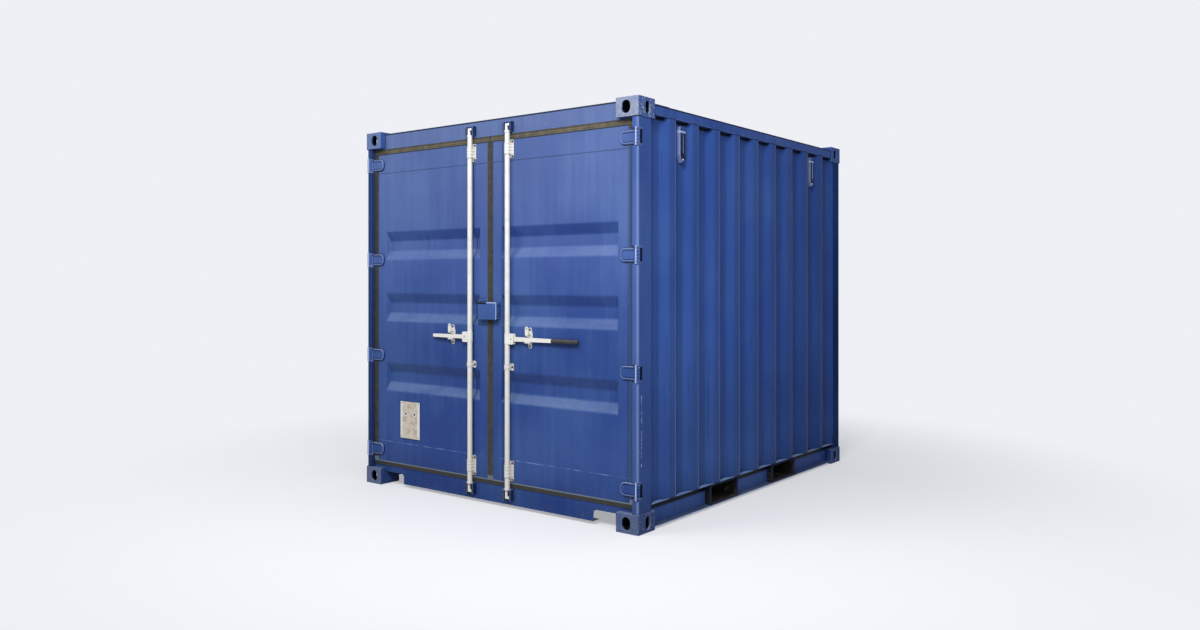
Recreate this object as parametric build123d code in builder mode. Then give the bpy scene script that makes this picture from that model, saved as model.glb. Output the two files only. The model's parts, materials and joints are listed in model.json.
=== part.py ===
from build123d import *
import os

os.makedirs("parts", exist_ok=True)

# A 10 ft shipping container, 8 ft 6 in high, with double doors at its front end.
# Frame: X runs across the door end, to the right as seen from outside, Y runs from the door end
# to the blind end, Z is up. The origin is on the ground under the middle of the box.
# Depths are counted inwards from the outer plane of the corner castings at either end.

SIDES = ((-1, "left"), (1, "right"))

# How far a cut runs past the face that it opens
beyond = 1.0

# Overall size
width = 2438.0
length = 2991.0
height = 2591.0
half_width = width / 2
half_length = length / 2

# Corner castings
casting_x, casting_y, casting_z = 162.0, 178.0, 118.0
casting_wall = 28.0
casting_inner_wall = 13.0
casting_corner = 8.0
casting_hole_from_side = 89.5
casting_hole_from_end = 101.5
casting_top_hole = (124.0, 63.5)
casting_end_hole = (79.5, 63.5)
casting_side_hole = (79.5, 51.0)

# Posts at both ends
post_inset = 4.0
post_width = 45.0
post_front = 9.0
post_back = 141.0
post_wall = 6.0
post_corner = 12.0

# Header and sill of the door opening
door_plane = 44.0
ring_depth = 60.0
ring_wall = 4.0
header_lip = 8.0
header_drop = 11.0
sill_bottom = 22.0
sill_rise = 20.0
sill_notch_length = 200.0
sill_notch_below_top = 43.0
sill_notch_corner = 25.0

# Side rails and rails of the blind end
rail_bottom, rail_top = 16.0, 160.0
rail_wall = 4.5
rail_flange = 52.0
top_rail_size = 60.0
top_rail_wall = 3.0
top_rail_drop = 31.0
end_rail_depth = 25.0
end_panel_depth = 30.0

# Corrugated walls: the ribs repeat at a fixed pitch, as many as the wall takes
sheet = 2.0
side_rib_pitch = 278.0
side_rib_outer = 72.0
side_rib_inner = 70.0
side_rib_depth = 36.0
end_rib_pitch = 250.0
end_rib_outer = 110.0
end_rib_inner = 104.0
end_rib_depth = 45.6

# Roof
roof_rib_pitch = 209.0
roof_rib_base = 119.0
roof_rib_crest = 68.0
roof_rib_height = 20.0
roof_rib_margin = 110.0
roof_rib_slope = 32.0
roof_plate = 4.0
roof_plate_length = 170.0
roof_plate_width = 80.0
roof_plate_reach = 175.0
roof_plate_clear = 4.0

# Floor, cross members and fork pockets
floor_bottom = 148.0
floor_thickness = 28.0
floor_joint = 3.0
floor_gap = 2.0
member_height = 122.0
member_flange = 45.0
member_wall = 4.0
member_from_end = 295.5
member_from_pocket = 30.0
fork_spacing = 900.0
fork_width = 360.0
fork_height = 115.0
fork_wall = 4.0
fork_strap = 6.0
fork_strap_length = 215.0

# Doors
door_proud = 2.0
door_depth = 50.0
door_gap = 10.0
door_clear_side = 20.0
door_clear_bottom = 18.0
door_clear_top = 20.0
frame_stile = 60.0
frame_wall = 4.0
frame_bottom_rail = 163.0
frame_top_rail = 156.0
swage_above_rail = 371.0
swage_below_rail = 433.0
swage_middle_share = 0.53
swage_height = 207.0
swage_slope = 68.0
swage_depth = 36.0
swage_from_middle = 92.0
swage_from_edge = 105.0
swage_end_slope = 14.0

# Door gasket
gasket_proud = 3.0
gasket_clear = 1.0
gasket_overlap = 22.0
gasket_overlap_middle = 19.0
gasket_overlap_bottom = 16.0
gasket_overlap_top = 19.0
gasket_stem = 10.0
gasket_depth = 26.0
gasket_lip = 6.0
gasket_middle_clear = 0.75
gasket_middle_stem = 4.0
gasket_corner = 10.0

# Hinges
hinge_barrel_radius = 16.0
hinge_barrel_height = 80.0
hinge_clear = 1.0
hinge_from_side = 18.0
hinge_from_bottom = 100.0
hinge_from_top = 93.0
hinge_shares = (0.0, 0.331, 0.666, 1.0)
hinge_pin_radius = 8.0
hinge_pin_clearance = 0.1
hinge_lug = 12.0
hinge_lug_gap = 2.0
hinge_blade = 8.0
hinge_blade_reach = 84.0
hinge_blade_corner = 30.0
hinge_pocket_depth = 48.0

# Lock rods with their cams
rod_x = 170.0
rod_radius = 17.0
rod_wall = 3.5
rod_clearance = 0.3
rod_to_gasket = 1.0
cam_flange = 12.0
cam_flange_lip = 3.0
cam_finger = 14.0
cam_stem_radius = 10.0
cam_stem_offset = -7.0
cam_reach = 21.5
cam_top_gap = 7.0
cam_top_length = 58.0
cam_bottom_overlap = 1.0
cam_bottom_length = 69.0

# Rod brackets: height of the plate and of the strap of each
bracket_plate = 3.5
bracket_strap = 3.2
bracket_width = 80.0
bracket_corner = 10.0
bottom_bracket_rise = 24.0
bottom_bracket = (134.0, 84.0)
middle_bracket_below_handle = 162.0
middle_bracket = (47.0, 34.0)
top_bracket_drop = 20.0
top_bracket = (120.0, 76.0)

# Cam keepers
keeper_play = 2.5
keeper_lug = 10.0
keeper_lug_reach = 34.0
keeper_bridge = 12.0
keeper_bridge_reach = 14.0
keeper_gap = 4.0
keeper_chamfer = 6.0

# Handles
handle_z = 1117.0
handle_pivot_x = 212.0
handle_thickness = 12.0
handle_eye = 15.0
handle_tip_half = 12.0
handle_tip_corner = 9.6
left_handle_end = 525.0
right_handle_end = 550.0
grip_end = 758.0
grip_radius = 16.0
grip_edge = 4.0
shank_clearance = 0.2
shank_end = 745.0
clevis_height = 70.0
clevis_end = 232.0
clevis_ear = 5.0
clevis_gap = 2.0
clevis_collar = 2.0
clevis_corner = 12.0
handle_pin_radius = 5.0
pin_clearance = 0.1
handle_rest_clearance = 0.3

# Handle retainers and hasps
retainer_x = 350.0
retainer_below_handle, retainer_above_handle = 56.0, 78.0
retainer_width = 45.0
retainer_end_width = 20.0
retainer_straight = 44.0
retainer_corner = 8.0
ledge_length = 44.0
ledge_front = 10.0
ledge_thickness = 8.0
hasp_above_handle = 36.0
hasp_pin_radius = 5.0
hasp_pin_shoulder = 6.0
hasp_pin_head = 8.0
hasp_pin_head_thickness = 2.0
hasp_front, hasp_back = 4.0, 8.0
hasp_play = 0.3
hasp_half_width = 14.0
hasp_length = 36.0
hasp_seal_hole = 5.0

# Lock box
lock_box_inner, lock_box_outer = 3.0, 88.0
lock_box_front = 2.0
lock_box_wall = 4.0
lock_box_above_handle = 123.0
lock_box_height = 115.0
lock_box_corner = 6.0
lock_plate_inner = 25.0
lock_plate_to_gasket = 0.5
receiver_margin_bottom, receiver_margin_top = 37.0, 24.0
receiver_margin_side = 18.0
tongue_x = 40.0
tongue_thickness = 6.0
tongue_margin_bottom, tongue_margin_top = 28.0, 23.0
tongue_hole = 8.0

# Data plate
plate_width, plate_height = 200.0, 265.0
plate_from_edge = 263.0
plate_above_rail = 40.0
plate_thickness = 2.0

# Ventilators: one in the second recess from either end of each side wall
vent_rib = 2
vent_drop = 32.0
vent_height = 227.0
vent_width = 66.0
vent_depth = 26.0
vent_wall = 2.5
vent_tip_width = 24.0
vent_taper = 48.0
vent_corner = 5.0
vent_slot_above, vent_slot_below = 59.0, 45.0
vent_slot_width = 16.0

# Places that follow: frame
casting_inside_x = half_width - casting_x
casting_inside_y = half_length - casting_y
frame_top = height - casting_z
post_outer = half_width - post_inset
post_inner = post_outer - post_width
post_end_y = half_length - post_back
ring_back = door_plane + ring_depth
header_bottom, header_top = frame_top - header_lip, height - header_drop
sill_top = casting_z + sill_rise
sill_notch_top = sill_top - sill_notch_below_top
top_rail_top = height - top_rail_drop
top_rail_bottom = top_rail_top - top_rail_size
rail_web_inside = post_outer - rail_flange
floor_top = floor_bottom + floor_thickness
fork_top = floor_bottom - fork_wall
fork_bottom = fork_top - fork_height
side_rib_slope = (side_rib_pitch - side_rib_outer - side_rib_inner) / 2
side_rib_count = 2 * int((post_end_y + side_rib_outer / 2) // side_rib_pitch)
end_rib_slope = (end_rib_pitch - end_rib_outer - end_rib_inner) / 2
end_rib_count = int(2 * post_inner // end_rib_pitch)
roof_rib_count = int(2 * casting_inside_y // roof_rib_pitch)
vent_y = (side_rib_count / 2 - vent_rib + 0.5) * side_rib_pitch
vent_top = top_rail_bottom - vent_drop
vent_bottom = vent_top - vent_height

# Places that follow: doors
door_face = door_plane - door_proud
door_back = door_face + door_depth
door_near = door_gap / 2
door_edge = post_inner - door_clear_side
door_bottom, door_top = sill_top + door_clear_bottom, header_bottom - door_clear_top
panel_near = door_near + frame_stile
panel_far = door_edge - frame_stile
panel_bottom = door_bottom + frame_bottom_rail
panel_top = door_top - frame_top_rail
swage_inner_x, swage_outer_x = door_near + swage_from_middle, door_edge - swage_from_edge
lowest_swage = panel_bottom + swage_above_rail
highest_swage = panel_top - swage_below_rail - swage_height
swage_bottoms = (lowest_swage,
                 lowest_swage + swage_middle_share * (highest_swage - lowest_swage),
                 highest_swage)
gasket_face = door_face - gasket_proud
gasket_far = post_inner - gasket_clear
gasket_bottom = sill_top + gasket_clear
gasket_top = header_bottom - gasket_clear

# Places that follow: hinges, lock rods and handles
hinge_x = half_width - hinge_from_side
hinge_depth = hinge_barrel_radius + hinge_clear
lowest_hinge, highest_hinge = door_bottom + hinge_from_bottom, door_top - hinge_from_top
hinge_heights = [lowest_hinge + share * (highest_hinge - lowest_hinge) for share in hinge_shares]
hinge_blade_end = door_edge - hinge_blade_reach
hinge_pocket_height = hinge_barrel_height + 2 * (hinge_lug + hinge_lug_gap)
rod_depth = gasket_face - rod_to_gasket - rod_radius
cam_flange_radius = rod_radius + cam_flange_lip
cam_top_base = header_bottom + cam_top_gap
cam_bottom_base = sill_top - cam_bottom_overlap
cams = ((cam_top_base, cam_top_base + cam_top_length),
        (cam_bottom_base, cam_bottom_base - cam_bottom_length))
keeper_clear = cam_reach + keeper_play
brackets = ((door_bottom + bottom_bracket_rise, *bottom_bracket),
            (handle_z - middle_bracket_below_handle - middle_bracket[0], *middle_bracket),
            (door_top - top_bracket_drop - top_bracket[0], *top_bracket))
clevis_hub_radius = rod_radius + clevis_collar
clevis_inside = handle_thickness / 2 + clevis_gap
retainer_bottom, retainer_top = handle_z - retainer_below_handle, handle_z + retainer_above_handle
retainer_face = door_face - bracket_plate
hasp_pin_z = handle_z + hasp_above_handle
lock_box_bottom = handle_z + lock_box_above_handle
lock_box_top = lock_box_bottom + lock_box_height
lock_plate_margins = {"left": (receiver_margin_bottom, receiver_margin_top, receiver_margin_side),
                      "right": (0, 0, 0)}
tongue_bottom, tongue_top = lock_box_bottom + tongue_margin_bottom, lock_box_top - tongue_margin_top
plate_x = -(door_edge - plate_from_edge - plate_width / 2)
plate_bottom = panel_bottom + plate_above_rail


def front(depth):
    """The upright plane at this depth behind the door end; it faces outwards, to -Y."""
    return Plane.XZ.offset(half_length - depth)


def front_y(depth):
    return depth - half_length


def back_y(depth):
    return half_length - depth


def span(x0, x1, y0, y1, mode=Mode.ADD):
    """A rectangle in the sketch between two corners."""
    with Locations(((x0 + x1) / 2, (y0 + y1) / 2)):
        Rectangle(abs(x1 - x0), abs(y1 - y0), mode=mode)


def block(x0, x1, y0, y1, z0, z1, mode=Mode.ADD):
    """A box in the part between two corners."""
    with Locations(((x0 + x1) / 2, (y0 + y1) / 2, (z0 + z1) / 2)):
        Box(abs(x1 - x0), abs(y1 - y0), abs(z1 - z0), mode=mode)


def cut_castings():
    """Takes the room of the eight corner castings out of the part being built."""
    for side in (-1, 1):
        for end in (-1, 1):
            for z0, z1 in ((0, casting_z), (frame_top, height)):
                block(side * casting_inside_x, side * (half_width + beyond),
                      end * casting_inside_y, end * (half_length + beyond), z0, z1, Mode.SUBTRACT)


def save(piece, name):
    piece.part.label = name
    export_step(piece.part, f"parts/{name}.step")


# Corner castings: hollow blocks with an oblong hole in each of their three outer faces. The one
# above the left door is a piece of its own, the others are kept together at either level
for level, name in ((0, "bottom_corner_castings"), (1, "top_corner_castings")):
    outside = level * height
    inward = 1 if level == 0 else -1
    with BuildPart() as corner_casting:
        block(casting_inside_x, half_width, -half_length, -casting_inside_y,
              outside, outside + inward * casting_z)
        fillet(corner_casting.edges().filter_by(Axis.Z).group_by(Axis.X)[-1].sort_by(Axis.Y)[0],
               casting_corner)
        block(casting_inside_x + casting_inner_wall, half_width - casting_wall,
              -half_length + casting_wall, -casting_inside_y - casting_inner_wall,
              outside + inward * casting_wall, outside + inward * (casting_z - casting_inner_wall),
              Mode.SUBTRACT)
        with BuildSketch(Plane.XY.offset(outside)):
            with Locations((half_width - casting_hole_from_side, casting_hole_from_end - half_length)):
                SlotOverall(casting_top_hole[0], casting_top_hole[1], rotation=90)
        extrude(amount=inward * (casting_wall + beyond), mode=Mode.SUBTRACT)
        with BuildSketch(front(0)):
            with Locations((half_width - casting_hole_from_side, outside + inward * casting_z / 2)):
                SlotOverall(casting_end_hole[0], casting_end_hole[1], rotation=90)
        extrude(amount=-casting_wall - beyond, mode=Mode.SUBTRACT)
        with BuildSketch(Plane.YZ.offset(half_width)):
            with Locations((casting_hole_from_end - half_length, outside + inward * casting_z / 2)):
                SlotOverall(casting_side_hole[0], casting_side_hole[1], rotation=90)
        extrude(amount=-casting_wall - beyond, mode=Mode.SUBTRACT)
    with BuildPart() as corner_castings:
        add(corner_casting.part)
        if level == 0:
            mirror(about=Plane.YZ)
            mirror(about=Plane.XZ)
        else:
            mirror(about=Plane.XZ)
            mirror(corner_castings.part.solids().sort_by(Axis.Y)[-1], about=Plane.YZ)
    save(corner_castings, name)
    if level == 1:
        with BuildPart() as left_door_casting:
            mirror(corner_casting.part, about=Plane.YZ)
        save(left_door_casting, "top_casting_left_door")

# Door posts: closed sections with a pocket in the front corner for each hinge
for side, side_name in SIDES:
    with BuildPart() as door_post:
        with BuildSketch(Plane.XY.offset(casting_z)) as outline:
            span(side * post_inner, side * post_outer, front_y(post_front), front_y(post_back))
            fillet(outline.vertices().group_by(Axis.Y)[0].sort_by(Axis.X)[0 if side < 0 else -1],
                   post_corner)
            offset(amount=-post_wall, mode=Mode.SUBTRACT)
        extrude(amount=frame_top - casting_z)
        for z in hinge_heights:
            block(side * (post_inner - beyond), side * (half_width + beyond),
                  front_y(0), front_y(hinge_pocket_depth),
                  z - hinge_pocket_height / 2, z + hinge_pocket_height / 2, Mode.SUBTRACT)
    save(door_post, f"door_post_{side_name}")

# Posts of the blind end
for side, side_name in SIDES:
    with BuildPart() as end_post:
        with BuildSketch(Plane.XY.offset(casting_z)) as outline:
            span(side * post_inner, side * post_outer, back_y(post_back), back_y(post_front))
            fillet(outline.vertices().group_by(Axis.Y)[-1].sort_by(Axis.X)[0 if side < 0 else -1],
                   post_corner)
            offset(amount=-post_wall, mode=Mode.SUBTRACT)
        extrude(amount=frame_top - casting_z)
    save(end_post, f"end_post_{side_name}")

# Door header: a box section between the castings
with BuildPart() as door_header:
    with BuildSketch(Plane.YZ):
        span(front_y(door_plane), front_y(ring_back), header_bottom, header_top)
        offset(amount=-ring_wall, mode=Mode.SUBTRACT)
    extrude(amount=casting_inside_x, both=True)
save(door_header, "door_header")

# Header end plates: they carry on the header's lower edge under the castings to the posts
with BuildPart() as header_end_plates:
    for side, side_name in SIDES:
        block(side * casting_inside_x, side * post_inner,
              front_y(door_plane), front_y(ring_back), header_bottom, frame_top)
save(header_end_plates, "header_end_plates")

# Door sill: an open section with a riser up to floor level, notched beside each casting
with BuildPart() as door_sill:
    with BuildSketch(Plane.YZ):
        span(front_y(door_plane), front_y(door_plane + ring_wall), sill_bottom, sill_top)
        span(front_y(door_plane), front_y(ring_back), sill_top - ring_wall, sill_top)
        span(front_y(door_plane), front_y(ring_back), sill_bottom, sill_bottom + ring_wall)
        span(front_y(ring_back - ring_wall), front_y(ring_back), sill_top - ring_wall, floor_top)
    extrude(amount=post_inner, both=True)
    for side, side_name in SIDES:
        with BuildSketch(front(door_plane - beyond)) as notch:
            span(side * (casting_inside_x - sill_notch_length), side * (casting_inside_x + beyond),
                 0, sill_notch_top)
            fillet(notch.vertices().group_by(Axis.Y)[-1].sort_by(Axis.X)[-1 if side < 0 else 0],
                   sill_notch_corner)
        extrude(amount=-ring_depth - 2 * beyond, mode=Mode.SUBTRACT)
    cut_castings()
save(door_sill, "door_sill")

# Rails of the blind end: a square tube on top, a channel open to the outside at the bottom
with BuildPart() as end_top_rail:
    with BuildSketch(Plane.YZ):
        span(back_y(end_rail_depth), back_y(end_rail_depth + top_rail_size),
             top_rail_bottom, top_rail_top)
        offset(amount=-top_rail_wall, mode=Mode.SUBTRACT)
    extrude(amount=casting_inside_x, both=True)
save(end_top_rail, "end_top_rail")

with BuildPart() as end_bottom_rail:
    with BuildSketch(Plane.YZ):
        span(back_y(end_panel_depth), back_y(end_panel_depth + rail_flange), rail_bottom, rail_top)
        span(back_y(end_panel_depth), back_y(end_panel_depth + rail_flange - rail_wall),
             rail_bottom + rail_wall, rail_top - rail_wall, Mode.SUBTRACT)
    extrude(amount=post_inner, both=True)
    cut_castings()
save(end_bottom_rail, "end_bottom_rail")

# Side rails: square tubes on top, channels open to the outside at the bottom
for side, side_name in SIDES:
    with BuildPart() as top_side_rail:
        with BuildSketch(Plane.XZ):
            span(side * (post_outer - top_rail_size), side * post_outer, top_rail_bottom, top_rail_top)
            offset(amount=-top_rail_wall, mode=Mode.SUBTRACT)
        extrude(amount=casting_inside_y, both=True)
    save(top_side_rail, f"top_side_rail_{side_name}")

    with BuildPart() as bottom_side_rail:
        with BuildSketch(Plane.XZ):
            span(side * rail_web_inside, side * post_outer, rail_bottom, rail_top)
            span(side * (rail_web_inside + rail_wall), side * post_outer,
                 rail_bottom + rail_wall, rail_top - rail_wall, Mode.SUBTRACT)
        extrude(amount=post_end_y, both=True)
        cut_castings()
        for end in (-1, 1):
            middle = end * fork_spacing / 2
            reach = fork_width / 2 + fork_wall
            block(side * (rail_web_inside - beyond), side * (rail_web_inside + rail_wall + beyond),
                  middle - reach, middle + reach, fork_bottom - fork_strap, floor_bottom, Mode.SUBTRACT)
    save(bottom_side_rail, f"bottom_side_rail_{side_name}")


def rib_line(start, count, pitch, outer, slope, inner):
    """Places along a ribbed wall, from its first slope on, each with 0 for outer or 1 for inner."""
    line = []
    for rib in range(count):
        at = start + rib * pitch
        line += [(at, 0), (at + slope, 1), (at + slope + inner, 1), (at + 2 * slope + inner, 0)]
    return line


def wall_line(end, count, pitch, outer, slope, inner):
    """The ribs in the middle of a wall, with its two ends; a rib may start right at an end."""
    ribs = rib_line((outer - count * pitch) / 2, count, pitch, outer, slope, inner)
    return [(-end, 0)] + [rib for rib in ribs if abs(rib[0]) < end - sheet] + [(end, 0)]


# Side walls: one sheet pressed into upright ribs, from post to post
side_line = wall_line(post_end_y, side_rib_count, side_rib_pitch, side_rib_outer,
                      side_rib_slope, side_rib_inner)
for side, side_name in SIDES:
    outer_line = [(side * (post_outer - deep * side_rib_depth), y) for y, deep in side_line]
    inner_line = [(x - side * sheet, y) for x, y in outer_line]
    with BuildPart() as side_wall:
        with BuildSketch(Plane.XY.offset(rail_top)):
            with BuildLine():
                Polyline(*outer_line, *reversed(inner_line), close=True)
            make_face()
        extrude(amount=top_rail_bottom - rail_top)
        cut_castings()
    save(side_wall, f"side_wall_{side_name}")

# End wall: the same, with deeper ribs, between the end posts
end_line = wall_line(post_inner, end_rib_count, end_rib_pitch, end_rib_outer,
                     end_rib_slope, end_rib_inner)
outer_line = [(x, back_y(end_panel_depth + deep * end_rib_depth)) for x, deep in end_line]
inner_line = [(x, y - sheet) for x, y in outer_line]
with BuildPart() as end_wall:
    with BuildSketch(Plane.XY.offset(rail_top)):
        with BuildLine():
            Polyline(*outer_line, *reversed(inner_line), close=True)
        make_face()
    extrude(amount=top_rail_bottom - rail_top)
    cut_castings()
save(end_wall, "end_wall")

# Roof: a sheet on the side rails, with ribs pressed up across it
rib_length = 2 * (half_width - roof_rib_margin)
rib_places = [(0, (i - (roof_rib_count - 1) / 2) * roof_rib_pitch) for i in range(roof_rib_count)]
with BuildPart() as roof_panel:
    with BuildSketch(Plane.XY.offset(top_rail_top)):
        span(-post_outer, post_outer, -casting_inside_y, casting_inside_y)
    extrude(amount=sheet)
    for place in rib_places:
        for lower, grow, mode in ((top_rail_top + sheet, 0, Mode.ADD),
                                  (top_rail_top, -sheet, Mode.SUBTRACT)):
            with BuildSketch(Plane.XY.offset(lower)) as base:
                with Locations(place):
                    Rectangle(rib_length + grow, roof_rib_base + grow)
            with BuildSketch(Plane.XY.offset(lower + roof_rib_height)) as crest:
                with Locations(place):
                    Rectangle(rib_length - 2 * roof_rib_slope + grow, roof_rib_crest + grow)
            loft(sections=[base.sketch, crest.sketch], ruled=True, mode=mode)
save(roof_panel, "roof_panel")

# Roof end plates: flat strips between the top castings at either end
roof_front, roof_rear = front_y(ring_back), back_y(end_rail_depth)
with BuildPart() as roof_end_plates:
    with BuildSketch(Plane.XY.offset(top_rail_top)):
        span(-casting_inside_x, casting_inside_x, roof_front, -casting_inside_y)
        span(-casting_inside_x, casting_inside_x, casting_inside_y, roof_rear)
    extrude(amount=sheet)
save(roof_end_plates, "roof_end_plates")

# Roof corner plates: doubling plates beside and behind each top casting
with BuildPart() as roof_corner_plates:
    with BuildSketch(Plane.XY.offset(top_rail_top + sheet)):
        for side, side_name in SIDES:
            for end, reach in ((-1, -roof_front), (1, roof_rear)):
                span(side * (half_width - roof_rib_margin + roof_plate_clear),
                     side * (post_outer - sheet),
                     end * (casting_inside_y - roof_plate_length), end * casting_inside_y)
                span(side * (casting_inside_x - roof_plate_reach), side * casting_inside_x,
                     end * (casting_inside_y - roof_plate_width), end * reach)
    extrude(amount=roof_plate)
save(roof_corner_plates, "roof_corner_plates")

# Floor: plywood boards on the cross members, two across and three along
floor_rear = back_y(end_panel_depth + rail_flange) - floor_gap
floor_front = front_y(ring_back) + floor_gap
board_width = rail_web_inside - floor_gap - floor_joint / 2
board_length = (floor_rear - floor_front - 2 * floor_joint) / 3
with BuildPart() as floor_boards:
    with BuildSketch(Plane.XY.offset(floor_bottom)):
        with Locations((0, (floor_front + floor_rear) / 2)):
            with GridLocations(board_width + floor_joint, board_length + floor_joint, 2, 3):
                Rectangle(board_width, board_length)
    extrude(amount=floor_thickness)
save(floor_boards, "floor_boards")

# Cross members: channels between the webs of the side rails, evenly spaced around the fork pockets
pocket_near = fork_spacing / 2 - fork_width / 2 - member_from_pocket
pocket_far = fork_spacing / 2 + fork_width / 2 + member_from_pocket
last_member = half_length - member_from_end
rear_members = [pocket_near, pocket_far, (pocket_far + last_member) / 2, last_member]
member_places = [-y for y in reversed(rear_members)] + [0] + rear_members
with BuildPart() as cross_members:
    with BuildSketch(Plane.YZ):
        for y in member_places:
            y0, y1 = y - member_flange / 2, y + member_flange / 2
            span(y0, y1, floor_bottom - member_height, floor_bottom)
            span(y0 + member_wall, y1, floor_bottom - member_height + member_wall,
                 floor_bottom - member_wall, Mode.SUBTRACT)
    extrude(amount=rail_web_inside, both=True)
save(cross_members, "cross_members")

# Fork pockets: ducts from side to side, closed at the bottom by straps near their mouths
with BuildPart() as fork_pockets:
    for end in (-1, 1):
        y0, y1 = end * fork_spacing / 2 - fork_width / 2, end * fork_spacing / 2 + fork_width / 2
        with BuildSketch(Plane.YZ):
            span(y0 - fork_wall, y1 + fork_wall, fork_bottom - fork_strap, floor_bottom)
            span(y0, y1, fork_bottom - fork_strap, fork_top, Mode.SUBTRACT)
        extrude(amount=post_outer, both=True)
        for side, side_name in SIDES:
            block(side * (post_outer - fork_strap_length), side * post_outer, y0, y1,
                  fork_bottom - fork_strap, fork_bottom)
save(fork_pockets, "fork_pockets")

# Hinge lugs welded into the post pockets, each pair with its pin
with BuildPart() as hinge_lugs:
    for side, side_name in SIDES:
        for z in hinge_heights:
            for up in (-1, 1):
                low = z + up * (hinge_barrel_height / 2 + hinge_lug_gap)
                with BuildSketch(Plane.XY.offset(low)):
                    with Locations((side * hinge_x, front_y(hinge_depth))):
                        Circle(hinge_barrel_radius)
                    span(side * (post_inner + post_wall), side * post_outer,
                         front_y(hinge_depth), front_y(hinge_pocket_depth))
                extrude(amount=up * hinge_lug)
            with Locations((side * hinge_x, front_y(hinge_depth), z)):
                Cylinder(hinge_pin_radius, hinge_pocket_height)
save(hinge_lugs, "hinge_lugs")


def vent_outline(inset):
    """Outline of a ventilator cover in the wall's plane: a plate that tapers to its lower tip."""
    half, tip = vent_width / 2 - inset, vent_tip_width / 2 - inset
    bottom, top = vent_bottom + inset, vent_top - inset
    Polygon((-half, top), (half, top), (half, bottom + vent_taper), (tip, bottom),
            (-tip, bottom), (-half, bottom + vent_taper), align=None)


# Ventilators: pressed covers in a wall recess near each end, open through an upright slot
vent_seat = post_outer - side_rib_depth
vent_slot_bottom, vent_slot_top = vent_bottom + vent_slot_above, vent_top - vent_slot_below
with BuildPart() as ventilators:
    for y in (-vent_y, vent_y):
        wall_plane = Plane((vent_seat, y, 0), x_dir=(0, 1, 0), z_dir=(1, 0, 0))
        with BuildSketch(wall_plane) as cover:
            vent_outline(0)
            fillet(cover.vertices(), vent_corner)
        extrude(amount=vent_depth)
        with BuildSketch(wall_plane):
            vent_outline(vent_wall)
        extrude(amount=vent_depth - vent_wall, mode=Mode.SUBTRACT)
        with BuildSketch(wall_plane):
            with Locations((0, (vent_slot_bottom + vent_slot_top) / 2)):
                SlotOverall(vent_slot_top - vent_slot_bottom, vent_slot_width, rotation=90)
        extrude(amount=vent_depth + beyond, mode=Mode.SUBTRACT)
    mirror(about=Plane.YZ)
save(ventilators, "ventilators")

# Cam keepers: a bridge with two lugs, on the header above the top cams and on the sill below
# the bottom cams
with BuildPart() as cam_keepers:
    for side, side_name in SIDES:
        for base, tip in cams:
            out = 1 if tip > base else -1
            near, far = tip + out * keeper_gap, tip + out * (keeper_gap + keeper_bridge)
            reach = keeper_clear + keeper_lug
            with BuildSketch(front(door_plane)):
                span(side * rod_x - reach, side * rod_x + reach, near, far)
            extrude(amount=keeper_bridge_reach)
            for lug in (-1, 1):
                middle = side * rod_x + lug * (keeper_clear + keeper_lug / 2)
                lug_plane = Plane((middle, front_y(door_plane), 0), x_dir=(0, 1, 0), z_dir=(1, 0, 0))
                with BuildSketch(lug_plane) as outline:
                    span(-keeper_lug_reach, 0, base + out * cam_flange / 2, far)
                    chamfer(outline.vertices().group_by(Axis.X)[0], keeper_chamfer)
                extrude(amount=keeper_lug / 2, both=True)
save(cam_keepers, "cam_keepers")


def retainer_outline(x):
    """Outline of a handle retainer: a lozenge with a straight middle and blunt ends."""
    middle = (retainer_bottom + retainer_top) / 2
    half_end, half_width_here = retainer_end_width / 2, retainer_width / 2
    Polygon((x - half_end, retainer_bottom), (x + half_end, retainer_bottom),
            (x + half_width_here, middle - retainer_straight / 2),
            (x + half_width_here, middle + retainer_straight / 2),
            (x + half_end, retainer_top), (x - half_end, retainer_top),
            (x - half_width_here, middle + retainer_straight / 2),
            (x - half_width_here, middle - retainer_straight / 2), align=None)


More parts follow.
